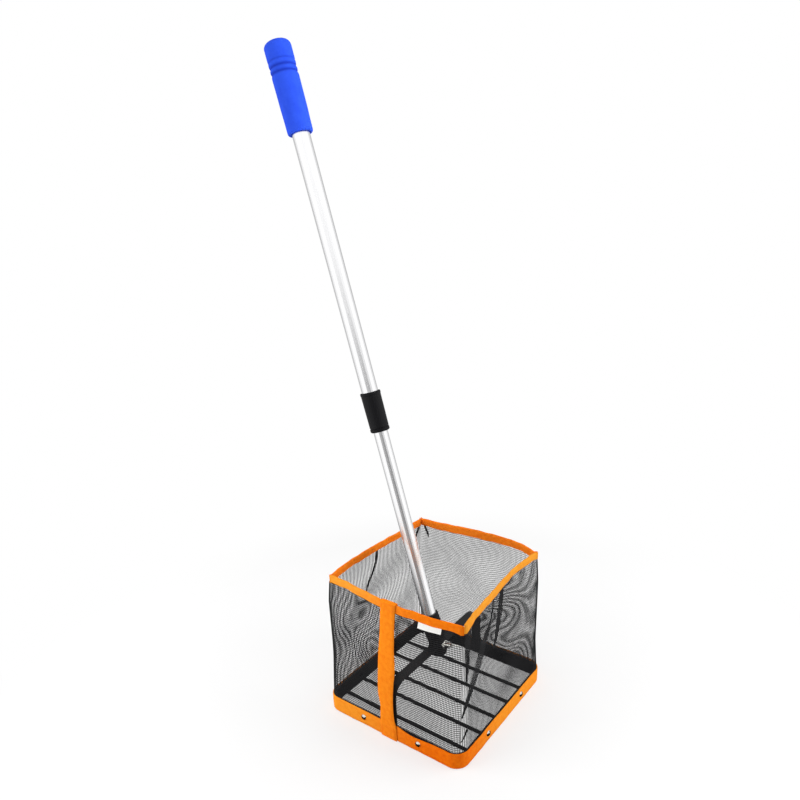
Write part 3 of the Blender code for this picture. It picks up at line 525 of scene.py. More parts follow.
# %% [markdown]
# One function gives any point of a wall, from the share of its length and the height. Everything sewn to
# the net is placed by that same function, so it all stays together.

# %% Wall surface
HEM_EASE = (-0.02, -0.01, 0, 0.01, 0.02)  # shares over which the hem's noted shape is evened out
OUT_STEP = 0.004  # share ahead and behind that gives a wall's direction


def base_curve(side, along):
    """The wall's foot: straight, with half of a round corner at each end."""
    normal = np.array(OUTWARD[side], float)
    forward = np.array((-normal[1], normal[0]))
    radius = NET_HALF - STRAIGHT
    travel = (2 * along - 1) * (STRAIGHT + radius * math.pi / 4)
    over = np.maximum(np.abs(travel) - STRAIGHT, 0) / radius
    reach = np.sign(travel) * (np.minimum(np.abs(travel), STRAIGHT) + radius * np.sin(over))
    depth = STRAIGHT + radius * np.cos(over)
    return reach[..., None] * forward + depth[..., None] * normal


def hem_curve(side, along, seam=SEAM_HALF):
    """The wall's top, bowed between its two corners and a seam's half-width short of them."""
    start_name, end_name, bow, peak = SIDES[side]
    start, end = (np.array(HEM_CORNERS[name], float) for name in (start_name, end_name))
    forward = (end - start) / np.linalg.norm(end - start)
    normal = np.array((forward[1], -forward[0]))
    first = start + (normal + forward) * seam * math.sqrt(0.5)
    last = end + (normal - forward) * seam * math.sqrt(0.5)
    swing = np.sin(math.pi * along ** (math.log(0.5) / math.log(peak)))
    return first + (last - first) * along[..., None] + normal * bow * swing[..., None]


def hem_shape(side, along):
    """How far a hem rides up, and how much deeper it hangs, eased between the noted shares."""
    shares, *noted = np.array(HEM_SHAPE[side]).T
    return [np.mean([np.interp(along + step, shares, row) for step in HEM_EASE], axis=0) for row in noted]


def net_rise(z):
    """How far up the free net a height is: 0 at the band, 1 at the hem."""
    return np.clip((z - BAND_TOP) / (HEM_BOTTOM - BAND_TOP), 0, 1)


def wall(side, along, z, seam=SEAM_HALF):
    """Points of a wall in millimetres, for arrays of shares along it and heights."""
    along, z = np.broadcast_arrays(np.asarray(along, float), np.asarray(z, float))
    along = np.clip(along, 0, 1)
    rise = net_rise(z)
    belly = NET_BELLY * np.sin(math.pi * along) * np.sin(math.pi * rise)
    flat = base_curve(side, along) * (1 - rise[..., None]) + hem_curve(side, along, seam) * rise[..., None]
    flat = flat + np.array(OUTWARD[side]) * belly[..., None]
    for name, share in ((SIDES[side][0], along), (SIDES[side][1], 1 - along)):
        if name in CORNER_BULGE:
            bulge = np.interp(z, *CORNER_BULGE[name]) * np.exp(-((share / BULGE_SHARE) ** 2))
            flat = flat + np.sign(HEM_CORNERS[name]) * math.sqrt(0.5) * bulge[..., None]
    ridden = z + hem_shape(side, along)[0] * rise
    return np.concatenate((flat, ridden[..., None]), axis=-1)


def wall_out(side, along, z):
    """The level outward direction of a wall at those points."""
    ahead = wall(side, np.minimum(along + OUT_STEP, 1), z) - wall(side, np.maximum(along - OUT_STEP, 0), z)
    out = np.stack((ahead[..., 1], -ahead[..., 0], np.zeros(ahead.shape[:-1])), axis=-1)
    return out / np.linalg.norm(out, axis=-1, keepdims=True)


print("wall middle", wall("front_left", 0.5, 130.0).round(1))

# %% [markdown]
# ## Net
# A see-through texture would look right from one distance only, so the net is real yarn: closed tubes
# with four sides, one set upright and one level. In the photograph the wider of the two spacings is about
# two pixels, which makes it 3.3 mm; the other is 2.2 mm. About half of the net is open.
#
# Two walls are cut along the cloth and two across it. So the wide spacing lies between level yarns at the
# front left and the back right, and between upright ones on the other two walls. A real net has one
# thickness of yarn all over; here it differs, so that each wall has its depth of grey in the photograph.

# %% Yarn builder
NARROW_MM, WIDE_MM = 2.2, 3.3
YARNS = {  # side: spacing and half-thickness of its upright yarns, then of its level ones
    "front_left": ((NARROW_MM, 0.40), (WIDE_MM, 0.60)),
    "front_right": ((WIDE_MM, 0.51), (NARROW_MM, 0.22)),
    "back_right": ((NARROW_MM, 0.42), (WIDE_MM, 0.38)),
    "back_left": ((WIDE_MM, 0.65), (NARROW_MM, 0.20)),
}


def yarn_piece(name, paths, outs, halves, finish):
    """One mesh of closed four-sided yarns along paths in millimetres, with the net's outward direction."""
    points, faces, base = [], [], 0
    for path, out, half in zip(paths, outs, halves):
        run = np.gradient(path, axis=0)
        run /= np.linalg.norm(run, axis=1, keepdims=True)
        beside = np.cross(run, out)
        beside /= np.linalg.norm(beside, axis=1, keepdims=True)
        corners = (path + out * half, path + beside * half, path - out * half, path - beside * half)
        ring = np.stack(corners, axis=1)
        count = len(path)
        points.append(ring.reshape(-1, 3))
        first = base + 4 * np.arange(count - 1)[:, None] + np.arange(4)
        after = base + 4 * np.arange(count - 1)[:, None] + (np.arange(4) + 1) % 4
        faces.append(np.stack((first, first + 4, after + 4, after), axis=-1).reshape(-1, 4))
        last = base + 4 * (count - 1)
        faces.append(np.array(((base, base + 1, base + 2, base + 3), (last + 3, last + 2, last + 1, last))))
        base += 4 * count
    mesh = bpy.data.meshes.new(name)
    mesh.from_pydata(at(np.concatenate(points)).tolist(), [], np.concatenate(faces).tolist())
    mesh.materials.append(finish)
    made = bpy.data.objects.new(name, mesh)
    bpy.context.scene.collection.objects.link(made)
    return made


print("net of", NARROW_MM, "by", WIDE_MM, "mm")

# %% [markdown]
# Knitted net never hangs dead straight: its yarns drift a few millimetres sideways and up and down. Where
# two walls overlap in the view, that drift turns into the wavy rings which fine nets are known for.

# %% Hanging net
NET_FOOT, NET_SEAM, WAVE_MM = 20.0, 0.5, 120
DRIFT = {  # side: how far its yarns drift in millimetres, waves along it, and their phase
    "front_left": (5, 1.0, 1.05),
    "front_right": (7, 0.6, 1.0),
    "back_right": (7, 0.6, 2.0),
    "back_left": (5, 1.0, 3.93),
}
SINK_WAVES, SINK_MM, SINK_TURN = 1.7, 300, 1.3  # the drift up and down is a slower wave
UP = np.concatenate(((NET_FOOT,), np.linspace(BAND_TOP, HEM_BOTTOM, 25), (NET_TOP - 1,)))
OVER = np.concatenate((np.linspace(0, 0.07, 5), np.linspace(0.1, 0.9, 27), np.linspace(0.93, 1, 5)))


def hung(side, along, z, length):
    """Wall points and outward directions with the net's drift."""
    drift, waves, phase = DRIFT[side]
    free = np.sin(math.pi * along) * np.sin(math.pi * net_rise(z))
    sideways = drift * free * np.sin(math.tau * (z / WAVE_MM + waves * along) + phase)
    sinking = drift * free * np.sin(math.tau * (SINK_WAVES * along - z / SINK_MM) + SINK_TURN * phase)
    along = np.clip(along + sideways / length, 0, 1)
    return wall(side, along, z + sinking, NET_SEAM), wall_out(side, along, z)


def lattice(grid, outs):
    """Yarns along both directions of a grid of points, with their outward directions."""
    across = [(row, out) for row, out in zip(grid, outs)]
    return across + [(grid[:, k], outs[:, k]) for k in range(grid.shape[1])]


print("net drifts up to", max(drift for drift, *_ in DRIFT.values()), "mm")

# %% [markdown]
# Two walls meet at each corner in a seam, which shows as a dark line at the left and right. The net that
# is left over at the front corner is folded over onto the front-right wall, together with some slack net,
# as dark pleats. There are smaller ones under the hem at the back and on the back-left wall. Where net
# lies on net it looks almost solid, so pleats are knitted closer here.

# %% Seams and pleats
SEAM_YARNS_MM = np.array((0.4, 1.0, 1.6))
PLEAT_SHARES, PLEAT_STEP, PLEAT_LIFT, PLEAT_HALF_MM = np.linspace(0, 1, 16), 1.05, 1.2, 0.2
PLEATS = {  # side: (share along, height) down the left edge, then down the right edge
    "front_right": (
        (
            ((0.004, 227), (0.004, 204), (0.014, 186), (0.020, 165), (0.022, 143)),
            ((0.072, 227), (0.077, 204), (0.062, 184), (0.052, 165), (0.035, 143)),
        ),
        (
            (
                (0.425, 228), (0.370, 204), (0.285, 188), (0.205, 180), (0.170, 166), (0.113, 149),
                (0.052, 129), (0.020, 109), (0.001, 89),
            ),
            (
                (0.437, 227), (0.385, 203), (0.315, 180), (0.278, 172), (0.242, 158), (0.180, 139),
                (0.107, 121), (0.045, 106), (0.008, 88),
            ),
        ),
        (((0.037, 66), (0.020, 56), (0.003, 47)), ((0.055, 64), (0.032, 55), (0.010, 47))),
        (
            ((0.525, 227), (0.468, 201), (0.420, 178), (0.383, 160), (0.372, 152)),
            ((0.580, 227), (0.525, 195), (0.470, 173), (0.416, 157), (0.386, 151)),
        ),
    ),
    "back_right": ((((0.985, 228), (0.965, 217), (0.945, 206)), ((0.965, 228), (0.945, 217), (0.938, 206))),),
    "back_left": (
        (
            ((0.508, 228), (0.512, 210), (0.548, 191), (0.590, 177), (0.610, 164), (0.625, 154)),
            ((0.485, 228), (0.492, 209), (0.527, 190), (0.570, 175), (0.598, 163), (0.613, 153)),
        ),
        (((0.020, 229), (0.048, 219), (0.068, 209)), ((0.001, 228), (0.022, 218), (0.048, 208))),
    ),
}


def pleat(side, left, right):
    """Net folded onto a wall, between a left and a right edge."""
    rows = max(3, round((left[0][1] - left[-1][1]) / PLEAT_STEP))
    steps = np.linspace(0, 1, rows)
    edges = []
    for edge in (left, right):
        marks = np.linspace(0, 1, len(edge))
        edges.append([np.interp(steps, marks, column)[:, None] for column in np.array(edge).T])
    along, z = (edges[0][k] * (1 - PLEAT_SHARES) + edges[1][k] * PLEAT_SHARES for k in (0, 1))
    outs = wall_out(side, along, z)
    return lattice(wall(side, along, z, NET_SEAM) + outs * PLEAT_LIFT, outs)


print(sum(len(group) for group in PLEATS.values()), "pleats")

# %% [markdown]
# Each wall becomes one piece. Reflections leave the net out: in the photograph the foot of the tube shows
# no trace of it, and it would only put a grain on the tube that satin metal would blur away.

# %% Four net walls
NET_EDGE = 0.003  # share of a wall's length that its outermost yarns keep from the corner


def span_length(side):
    """The straight distance between a hem's two ends."""
    return np.linalg.norm(hem_curve(side, np.array(1.0)) - hem_curve(side, np.array(0.0)))


for side in SIDES:
    length = span_length(side)
    (upright_mm, upright_half), (level_mm, level_half) = YARNS[side]
    upright = [np.linspace(NET_EDGE, 1 - NET_EDGE, round(length / upright_mm) + 1)]
    if SIDES[side][0] in CORNER_BULGE:
        upright.append(SEAM_YARNS_MM / length)
    if SIDES[side][1] in CORNER_BULGE:
        upright.append(1 - SEAM_YARNS_MM / length)
    upright = np.concatenate(upright)
    level = np.arange(NET_FOOT, NET_TOP, level_mm)
    yarns = [hung(side, np.full(len(UP), u), UP, length) for u in upright]
    yarns += [hung(side, OVER, np.full(len(OVER), z), length) for z in level]
    for left, right in PLEATS.get(side, ()):
        yarns += pleat(side, left, right)
    halves = np.full(len(yarns), PLEAT_HALF_MM)
    halves[: len(upright)] = upright_half
    halves[len(upright) : len(upright) + len(level)] = level_half
    piece = yarn_piece("net_wall_" + side, *zip(*yarns), halves, net_finish)
    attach(piece, "basket")
    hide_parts("net_" + side)
    piece.visible_glossy = False
    print(piece.name, len(upright), "upright and", len(level), "level yarns")

# %% [markdown]
# ## Tape and webbing
# Every tape is a strip with some thickness and rounded edges, swept along a path. The helper takes its
# cross-sections one after the other, skins them, and writes the map that the woven finish follows.

# %% Strip builder
SHARP_DEGREES = 55


def strip_piece(name, sections, finish, closed=False):
    """A closed skin through equal cross-sections in millimetres, with a map of metres along and across."""
    sections = np.asarray(sections, float)
    count, width = sections.shape[:2]
    middle = sections.mean(axis=1)
    run = np.concatenate(((0,), np.cumsum(np.linalg.norm(np.diff(middle, axis=0), axis=1)))) * MM
    edge = np.linalg.norm(np.diff(sections[count // 2], axis=0, append=sections[count // 2][:1]), axis=1)
    girth = np.concatenate(((0,), np.cumsum(edge))) * MM
    shape = bmesh.new()
    weave = shape.loops.layers.uv.new("weave")
    rings = [[shape.verts.new(point) for point in at(section)] for section in sections]
    for i in range(count if closed else count - 1):
        ring, after = rings[i], rings[(i + 1) % count]
        run_after = run[i + 1] if i + 1 < count else run[i] + run[1]
        for k in range(width):
            face = shape.faces.new((ring[k], ring[(k + 1) % width], after[(k + 1) % width], after[k]))
            near, far = girth[k], girth[k + 1]
            places = ((run[i], near), (run[i], far), (run_after, far), (run_after, near))
            for loop, place in zip(face.loops, places):
                loop[weave].uv = place
    if not closed:
        shape.faces.new(rings[0])
        shape.faces.new(rings[-1])
    bmesh.ops.recalc_face_normals(shape, faces=shape.faces)
    if shape.calc_volume(signed=True) < 0:
        bmesh.ops.reverse_faces(shape, faces=shape.faces)
    mesh = bpy.data.meshes.new(name)
    shape.to_mesh(mesh)
    shape.free()
    mesh.materials.append(finish)
    mesh.shade_smooth()
    mesh.set_sharp_from_angle(angle=math.radians(SHARP_DEGREES))
    made = bpy.data.objects.new(name, mesh)
    bpy.context.scene.collection.objects.link(made)
    return made


def ripple(distance, *waves):
    """A sum of gentle waves: (height in mm, wavelength in mm, phase)."""
    return sum(high * np.sin(math.tau * distance / long + phase) for high, long, phase in waves)


print("strip builder ready")

# %% [markdown]
# ### Hem
# Four lengths of 26 mm tape are folded over the net's upper edge. At each corner two ends are pressed flat,
# sewn face to face and left as a little ear that points outwards. The tape follows the uneven line that
# the walls' surface has there, with small waves of its own.

# %% Hem sizes
HEM_TAPE_M, HEM_STEPS = 0.026, 81
HEM_OUTLINE = (  # distance from the net, height
    (2.0, 228.0), (2.15, 231), (2.1, 235), (1.8, 238.4), (1.1, 239.8), (0, 240.1), (-1.1, 239.8),
    (-1.8, 238.4), (-2.1, 235), (-2.15, 231), (-2.0, 228.0), (-1.2, 228.0), (-1.15, 237.5), (1.15, 237.5),
    (1.2, 228.0),
)
HEM_INNER = 11  # from here on, the outline runs along the inside of the fold
FOLD_SHUT = 0.95  # share of that inside which is pressed shut in an ear
EAR_MM, EAR_HALF = {"left": 4.0, "front": 1.4, "right": 6.0, "back": 5.5}, 1.1
# Painted light and shade: the front-right hem takes the lit copy of the tape, the two back hems the shaded
# one.
HEM_FINISHES = dict(zip(SIDES, (tape_finish, lit_hem_finish, shaded_hem_finish, shaded_hem_finish)))
HEM_STEADY = 16.0  # the tapes lie still this close to their ends, where they are sewn together
DEEPER_BELOW = 233.0  # only this lower part of the tape hangs deeper in places


def ear(side, edge, path, out):
    """Cross-sections (place, facing, how flat) of the ear at one end, whose own facing is mitred too."""
    name, turn = (SIDES[side][0], 1) if edge == 0 else (SIDES[side][1], -1)
    point = np.sign(HEM_CORNERS[name]) * math.sqrt(0.5)
    beside = np.array((-point[1], point[0])) * turn
    mitre = out[edge] + beside
    out[edge] = mitre / np.dot(mitre, beside)
    sections = []
    for flat in (0.5, 1.0):
        pressed = beside * (SEAM_HALF - EAR_HALF) * flat
        facing = beside * (1 - (1 - EAR_HALF / SEAM_HALF) * flat)
        sections.append((path[edge] + point * EAR_MM[name] * flat - pressed, facing, flat))
    return sections


print("hem tape", HEM_TAPE_M / MM, "mm wide")

# %% [markdown]
# Each tape is skinned from ear to ear. How it sways and rides is noted down, because the stitches follow it.

# %% Four hem tapes
hem_sways, hem_lifts = {}, {}
for order, side in enumerate(SIDES):
    along = np.linspace(0, 1, HEM_STEPS)
    path = wall(side, along, np.full(HEM_STEPS, NET_TOP))[:, :2]
    out = wall_out(side, along, np.full(HEM_STEPS, NET_TOP))[:, :2]
    first_ear, last_ear = (ear(side, edge, path, out) for edge in (0, -1))
    rows = [*first_ear[::-1], *zip(path, out, np.zeros(HEM_STEPS)), *last_ear]
    distance = np.cumsum([0] + [np.linalg.norm(b[0] - a[0]) for a, b in zip(rows, rows[1:])])
    settle = np.clip(np.minimum(distance, distance[-1] - distance) / HEM_STEADY - 0.5, 0, 1)
    sway = settle * ripple(distance, (0.25, 47, order), (0.2, 21, 2 * order))
    up, deeper = hem_shape(side, np.concatenate(((0, 0), along, (1, 1))))
    lift = up + ripple(distance, (0.45, 83, 1.7 * order), (0.25, 31, order))
    hem_sways[side], hem_lifts[side] = (along, sway[2:-2]), (along, (lift - deeper)[2:-2])
    sections = []
    for (spot, facing, flat), swayed, lifted, hanging in zip(rows, sway, lift, deeper):
        section = []
        for k, (off, z) in enumerate(HEM_OUTLINE):
            face = off * (1 - FOLD_SHUT * flat) if k >= HEM_INNER else off
            drop = hanging if z < DEEPER_BELOW else 0
            section.append((*(spot + facing * (face + swayed)), z + lifted - drop))
        sections.append(section)
    piece = strip_piece("hem_tape_" + side, sections, HEM_FINISHES[side])
    length = round(float(distance[-1]) * MM, 3)
    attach(piece, "basket")
    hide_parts("hem_" + side)
    print(piece.name, length, "m of tape")

# %% [markdown]
# ### Base band
# One length of 27 mm webbing runs round the base frame and is held by the rivets. It lies a little proud
# between them, its edges are rounded, and its upper edge isn't quite level: right of the front strap it
# dips by a few millimetres.

# %% Base band
BASE_HALF, BASE_CORNER_R, CORNER_STEPS, SIDE_STEPS = 128.0, 22.0, 8, 36
RIVET_REACH, RIVET_PULL, RIVET_PULL_OVER = 52.0, 0.25, 9
BAND_WIDTH_M, BAND_PROUD, PROUD_WAVES = 0.027, 0.15, ((0.12, 61, 0.4), (0.08, 23, 1.1))
BAND_WAVES = ((0.3, 97, 0.3), (0.15, 29, 2.0))
BAND_BACK, UPPER_PART = -1.2, 20  # what lies further in stays on the frame; what lies higher wanders
SQUARE_ON = 0.9  # a point that faces one side this squarely belongs to that side
BAND_EDGE = (  # place along the front-left side, lift of the band's upper edge there
    (-14, 13, 18, 25, 31, 37, 45, 50, 56, 69, 77, 85),
    (0, 1.0, 0.4, -2.1, -2.6, -3.4, -3.9, -3.6, -2.5, -1.2, -1.1, 0),
)
BAND_OUTLINE = (  # distance from the frame's outside, height
    (-1.4, 1.3), (-1.0, 0.6), (-0.4, 0.6), (0, 1.3), (0.2, 7), (0.25, 14), (0.2, 21), (0, 26.7),
    (-0.4, 27.5), (-1.0, 27.5), (-1.4, 26.7), (-1.4, 14),
)


def round_square(half, radius, corner_steps, side_steps):
    """An outline with round corners and the outward direction at each point, from the front corner on."""
    line = []
    for turn, (sx, sy) in enumerate(((1, -1), (1, 1), (-1, 1), (-1, -1))):
        for step in range(corner_steps + 1):
            a = math.radians(90 * (turn - 1 + step / corner_steps))
            out = np.array((math.cos(a), math.sin(a)))
            line.append((np.array((sx, sy)) * (half - radius) + radius * out, out))
        forward = np.array((-out[1], out[0]))
        for step in range(1, side_steps):
            line.append((line[-1][0] + forward * 2 * (half - radius) / side_steps, out))
    return line


outline = round_square(BASE_HALF, BASE_CORNER_R, CORNER_STEPS, SIDE_STEPS)
sections, band_line, distance = [], [], 0.0
for k, (point, out) in enumerate(outline):
    distance += np.linalg.norm(point - outline[k - 1][0]) if k else 0
    reach = abs(abs(point[0] if abs(out[1]) > SQUARE_ON else point[1]) - RIVET_REACH)
    pull = RIVET_PULL * math.exp(-((reach / RIVET_PULL_OVER) ** 2))
    proud = BAND_PROUD + ripple(distance, *PROUD_WAVES) - pull
    lift = ripple(distance, *BAND_WAVES)
    if out[1] < -SQUARE_ON:
        lift += np.interp(point[0], *BAND_EDGE)
    band_line.append((point, out, proud, lift))
    section = []
    for off, z in BAND_OUTLINE:
        face = off + (proud if off > BAND_BACK else 0)
        section.append((*(point + out * face), z + (lift if z > UPPER_PART else 0)))
    sections.append(section)
band = strip_piece("base_webbing", sections, band_finish, closed=True)
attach(band, "basket")
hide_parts("base_band")
print(band.name, round(distance), "mm round")

# %% [markdown]
# ### Front strap
# A strap of the same webbing stands in front of the band, runs up the net and is turned in over the hem.
# Its edges wander a little, as a loosely sewn strap's do.

# %% Front strap
STRAP_WIDTH_M, STRAP_OFF_NET, STRAP_FOOT_Y = 0.026, 3.2, -129.4
STRAP_SLACK, SLACK_WAVE = 0.5, 17
STRAP_TOP, STRAP_BEND, STRAP_TURNED_DOWN = 239.6, 2.0, (236, 232, 228.5)
STRAP_SPANS = ((0.8, BAND_TOP, 8), (34, 222, 40), (HEM_BOTTOM, 239.5, 5))  # from, to, steps
EDGE_EASE = (-6, -3, 0, 3, 6)
STRAP_OUTLINE = (  # share of the half-width, distance from the middle of its thickness
    (-1, 0), (-0.97, 0.55), (-0.5, 0.75), (0.5, 0.75), (0.97, 0.55), (1, 0),
    (0.97, -0.55), (0.5, -0.65), (-0.5, -0.65), (-0.97, -0.55),
)
STRAP_EDGES = (  # height, left edge, right edge
    (0, -16, 13.5), (27, -16.5, 13.2), (38, -17, 10), (58, -14.4, 9.4), (80, -18.6, 9.8),
    (105, -17, 12.4), (128, -14.9, 16.2), (150, -13.6, 16.8), (165, -12.9, 14.9), (190, -10.7, 15.4),
    (225, -9.6, 16.6), (242, -8.5, 17.5),
)
wall_length = span_length("front_left")


def strap_edges(z):
    """The strap's middle and half-width at a height, rounded off between the noted points."""
    heights, *edges = np.array(STRAP_EDGES).T
    left, right = (np.mean([np.interp(z + step, heights, edge) for step in EDGE_EASE]) for edge in edges)
    return (left + right) / 2, (right - left) / 2


line = []
for z in np.concatenate([np.linspace(*span) for span in STRAP_SPANS]):
    slack = STRAP_SLACK * math.sin(math.pi * net_rise(z)) * (1 + math.sin(z / SLACK_WAVE))
    over_net = wall("front_left", 0.5 + strap_edges(z)[0] / wall_length, z)[1] - STRAP_OFF_NET - slack
    line.append((STRAP_FOOT_Y if z <= BAND_TOP else over_net, z, (0, -1, 0)))
strap_front = tuple(zip(*[(z, y) for y, z, out in line]))
top_y = line[-1][0] + STRAP_OFF_NET
for angle in np.radians(np.linspace(20, 160, 7)):
    out = (0, -math.cos(angle), math.sin(angle))
    line.append((top_y + STRAP_OFF_NET * out[1], STRAP_TOP + STRAP_BEND * out[2], out))
line += [(top_y + STRAP_OFF_NET, z, (0, 1, 0)) for z in STRAP_TURNED_DOWN]
sections = []
for y, z, out in line:
    middle, half = strap_edges(z)
    section = [(middle + share * half, y + out[1] * deep, z + out[2] * deep) for share, deep in STRAP_OUTLINE]
    sections.append(section)
strap = strip_piece("front_webbing_strap", sections, webbing_finish)
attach(strap, "basket")
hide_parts("front_strap")

# %% [markdown]
# ### Tape label
# A short white tape hangs from under the hem, right of the strap. It is plain, and curls away from the net
# a little.

# %% Tape label
LABEL_FROM, LABEL_TO, LABEL_FOOT, LABEL_HEAD = 54.5, 90.0, 218.8, 229.6
LABEL_CURL, CURL_OVER, CURL_POWER = 3.4, 12, 1.6
LABEL_WAVE, LABEL_WAVE_OVER = 0.2, 9
LABEL_INSIDE, LABEL_OUTSIDE = 0.72, 1.12  # its two faces, from the net
middle_x = (hem_curve("front_left", np.array(1.0))[0] + hem_curve("front_left", np.array(0.0))[0]) / 2
sections = []
for z in np.linspace(LABEL_FOOT, LABEL_HEAD, 9):
    curl = LABEL_CURL * ((LABEL_HEAD - z) / CURL_OVER) ** CURL_POWER
    row_out, row_in = [], []
    for x in np.linspace(LABEL_FROM, LABEL_TO, 15):
        along = 0.5 + (x - middle_x) / wall_length
        point = np.append(wall("front_left", along, z)[:2], z)
        out = wall_out("front_left", np.array(along), z)
        bend = curl * (1 + LABEL_WAVE * math.sin((x - LABEL_FROM) / LABEL_WAVE_OVER))
        row_out.append(point + out * (LABEL_OUTSIDE + bend))
        row_in.append(point + out * (LABEL_INSIDE + bend))
    sections.append(row_out + row_in[::-1])
label = strip_piece("blank_tape_label", sections, label_finish)
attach(label, "basket")
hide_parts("label")

# %% [markdown]
# ### Stitching
# Lockstitch holds it all: one row along the foot of the hem on both faces, one along the band's upper
# edge, and a box at each end of the strap. Each stitch is its own short length of thread, a little arched
# where it comes up out of the cloth.

# %% Stitch builder
STITCH_MM, STITCH_GAP, STITCH_START, THREAD_HALF, TWIST_MM = 2.6, 1.0, 0.6, 0.24, 0.6
STITCH_SHARES, STITCH_ARCH = np.array((0.0, 0.25, 0.75, 1.0)), np.array((-0.1, 0.16, 0.16, -0.1))
THREAD = "polyester_thread_orange_twisted"
thread_finish, tree, shader = start_finish(THREAD, "#F0760C", 0.6, Specular_IOR_Level=0.2)
place = add(tree, "ShaderNodeTexCoord").outputs["Object"]
twist = add(tree, "ShaderNodeTexNoise", {"Vector": place, "Scale": per(TWIST_MM)})
tones = {"Factor": twist.outputs["Fac"], "A": linear("#D85F06"), "B": linear("#FF8A1C")}
tone = add(tree, "ShaderNodeMix", tones, data_type="RGBA")
tree.links.new(tone.outputs["Result"], shader.inputs["Base Color"])


def stitch_row(path, outs):
    """Threads along a path of points in millimetres, each arched outwards."""
    path, outs = np.asarray(path, float), np.asarray(outs, float)
    distance = np.concatenate(((0,), np.cumsum(np.linalg.norm(np.diff(path, axis=0), axis=1))))
    threads = []
    for start in np.arange(STITCH_START, distance[-1] - STITCH_MM, STITCH_MM + STITCH_GAP):
        spots = start + STITCH_MM * STITCH_SHARES
        place = np.stack([np.interp(spots, distance, column) for column in path.T], axis=1)
        out = np.stack([np.interp(spots, distance, column) for column in outs.T], axis=1)
        threads.append((place + out * STITCH_ARCH[:, None], out))
    return threads


print("stitches", STITCH_MM, "mm long in", thread_finish.name)

# %% [markdown]
# The rows follow the faces that were just made: the hem with its sway and ride, the band with its waves,
# and the strap with its wandering edges.

# %% Stitches
HEM_ROW_Z, BAND_ROW_Z, HEM_ROW_SHARES = 230.6, 24.3, np.linspace(0.03, 0.97, 90)
HEM_FACE, BAND_FACE, STRAP_FACE = 2.14, 0.08, 0.75
BOX_SHARE, BOX_HEIGHTS = 0.82, ((4.0, 23.0), (230.0, 238.0))
threads = []
for side in SIDES:
    path = wall(side, HEM_ROW_SHARES, np.full(len(HEM_ROW_SHARES), NET_TOP))
    out = wall_out(side, HEM_ROW_SHARES, path[:, 2])
    path[:, 2] = HEM_ROW_Z + np.interp(HEM_ROW_SHARES, *hem_lifts[side])
    sway = np.interp(HEM_ROW_SHARES, *hem_sways[side])[:, None]
    for face in (1, -1):
        threads += stitch_row(path + out * (face * HEM_FACE + sway), face * out)
row = [(*(spot + out * (BAND_FACE + proud)), BAND_ROW_Z + lift) for spot, out, proud, lift in band_line]
threads += stitch_row(row, [(*out, 0) for spot, out, proud, lift in band_line])


def strap_spot(share, z):
    """A point on the strap's face, from the share of its half-width and the height."""
    middle, half = strap_edges(z)
    return (middle + share * half, np.interp(z, *strap_front) - STRAP_FACE, z)


for foot, head in BOX_HEIGHTS:
    left, right = -BOX_SHARE, BOX_SHARE
    corners = ((left, foot), (right, foot), (right, head), (left, head), (left, foot))
    for (share, z), (share_after, z_after) in zip(corners, corners[1:]):
        steps = np.linspace(0, 1, 9)
        path = [strap_spot(share + (share_after - share) * t, z + (z_after - z) * t) for t in steps]
        threads += stitch_row(path, np.tile((0, -1, 0), (len(steps), 1)))
stitches = yarn_piece("lockstitches", *zip(*threads), np.full(len(threads), THREAD_HALF), thread_finish)
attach(stitches, "basket")
print(stitches.name, len(threads), "stitches")

# %% [markdown]
# ## Foam grip
# The grip is turned foam: a flat end with a round edge, three soft ring grooves below it, a slight taper
# and a rolled lower edge. Its outline comes first, from the middle of the end down the outside and back up
# the bore.

# %% Grip outline
GRIP_START, GRIP_END, GRIP_BORE_R = 782.0, 897.4, 12.8
GRIP_TAPER = ((782, 800, 815, 840, 862, 898), (17.6, 17.8, 18.2, 18.3, 18.5, 18.6))  # place, radius
CROWN_R, ROLL_R, DOME_MM = 6.5, 3.0, 0.8
GROOVES = ((872.8, 1.1, 0.6), (865.2, 2.0, 1.1), (857.7, 2.0, 1.1))  # place, half-width, depth
GROOVE_DEEP = max(deep for place, half, deep in GROOVES)
GRIP_FLAT_R, GRIP_STEP, GRIP_WALL, BORE_LIP = 6.0, 0.9, 4, 0.6


def grooves_at(s):
    """How deep the grooves are at a distance along the pole."""
    return sum(deep * math.exp(-(((s - place) / half) ** 2)) for place, half, deep in GROOVES)


def grip_radius(s):
    """The foam's outside at a distance along the pole."""
    return np.interp(s, *GRIP_TAPER) - grooves_at(s)


profile = [(0.0, GRIP_END), (GRIP_FLAT_R, GRIP_END - 0.2 * DOME_MM)]
for angle in np.radians(np.linspace(86, 0, 9)):
    radius = grip_radius(GRIP_END) - CROWN_R * (1 - math.cos(angle))
    profile.append((radius, GRIP_END - DOME_MM - CROWN_R * (1 - math.sin(angle))))
profile += [(grip_radius(s), s) for s in np.arange(GRIP_END - CROWN_R - 2, GRIP_START + ROLL_R, -GRIP_STEP)]
for angle in np.radians(np.linspace(0, -100, 6)):
    radius = grip_radius(GRIP_START) - ROLL_R * (1 - math.cos(angle))
    profile.append((radius, GRIP_START + ROLL_R * (1 + math.sin(angle))))
bore_end = GRIP_END - GRIP_WALL
profile += [(GRIP_BORE_R, GRIP_START + BORE_LIP), (GRIP_BORE_R, bore_end), (0.0, bore_end)]
print("grip outline of", len(profile), "points")

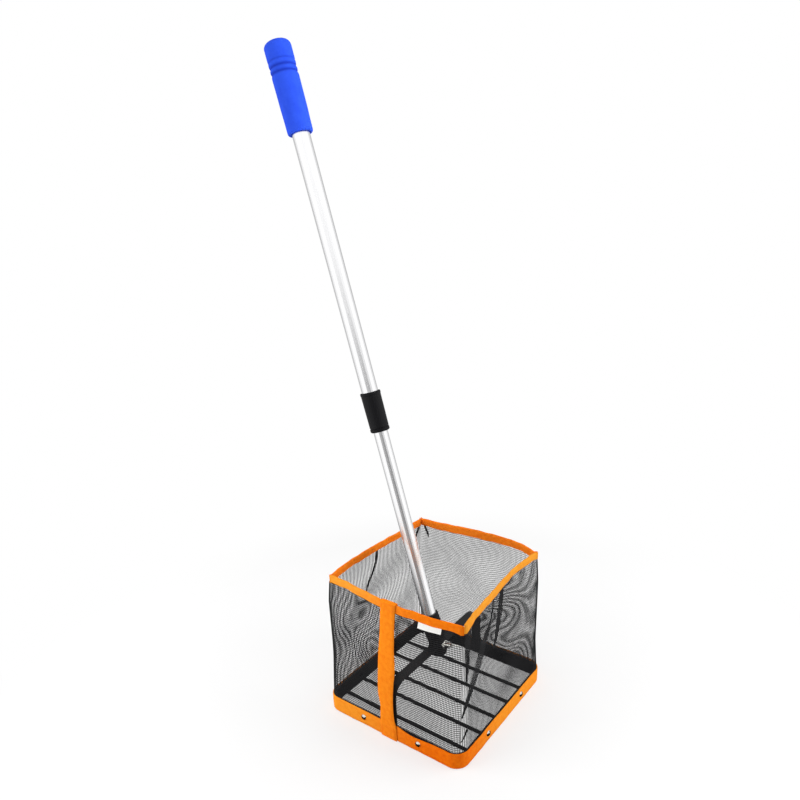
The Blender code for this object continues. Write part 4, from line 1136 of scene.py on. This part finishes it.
# %% [markdown]
# The outline is then spun about the pole. A slow ripple keeps the foam from looking machined, and its end
# is cut a little askew. An attribute notes where the grooves are, for the painted shade of the finish.

# %% Foam grip
SPIN_STEPS = 56
RIPPLE, RIPPLE_TURNS, RIPPLE_OVER = 0.08, 3, 19
SLANT, SLANT_FROM = 0.055, 884.0
VIEW_RIGHT = np.array((0.838, 0.546, 0))
shape = bmesh.new()
rows = []
for r, s in profile:
    if r == 0:
        rows.append([shape.verts.new(HINGE + POLE * s * MM)] * SPIN_STEPS)
        continue
    ring = []
    for angle in math.tau * np.arange(SPIN_STEPS) / SPIN_STEPS:
        outside = r > GRIP_BORE_R + 1
        wobble = RIPPLE * math.sin(RIPPLE_TURNS * angle + s / RIPPLE_OVER) if outside else 0
        sideways = (ACROSS * math.cos(angle) + np.array((0, 1, 0)) * math.sin(angle)) * (r + wobble)
        askew = SLANT * (sideways @ VIEW_RIGHT) * np.clip((s - SLANT_FROM) / (GRIP_END - SLANT_FROM), 0, 1)
        ring.append(shape.verts.new(HINGE + (POLE * (s + askew) + sideways) * MM))
    rows.append(ring)
for ring, after in zip(rows, rows[1:]):
    for k in range(SPIN_STEPS):
        beside = (k + 1) % SPIN_STEPS
        shape.faces.new(list(dict.fromkeys((ring[k], ring[beside], after[beside], after[k]))))
bmesh.ops.recalc_face_normals(shape, faces=shape.faces)
mesh = bpy.data.meshes.new("foam_grip")
shape.to_mesh(mesh)
shape.free()
mesh.shade_smooth()
mesh.materials.append(foam_finish)
along_pole = [float((np.array(vertex.co) - HINGE) @ POLE) / MM for vertex in mesh.vertices]
# How deep the grooves are at each point, which the finish turns into painted shade.
pressed = mesh.attributes.new("pressed", "FLOAT", "POINT")
pressed.data.foreach_set("value", [grooves_at(s) / GROOVE_DEEP for s in along_pole])
grip = bpy.data.objects.new("foam_grip", mesh)
bpy.context.scene.collection.objects.link(grip)
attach(grip, "upper_pole")
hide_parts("grip")
print(grip.name, len(mesh.polygons), "faces")

# %% [markdown]
# Last, the picture shows its colours as they are, under the Standard view.

bpy.context.scene.view_settings.view_transform = "Standard"
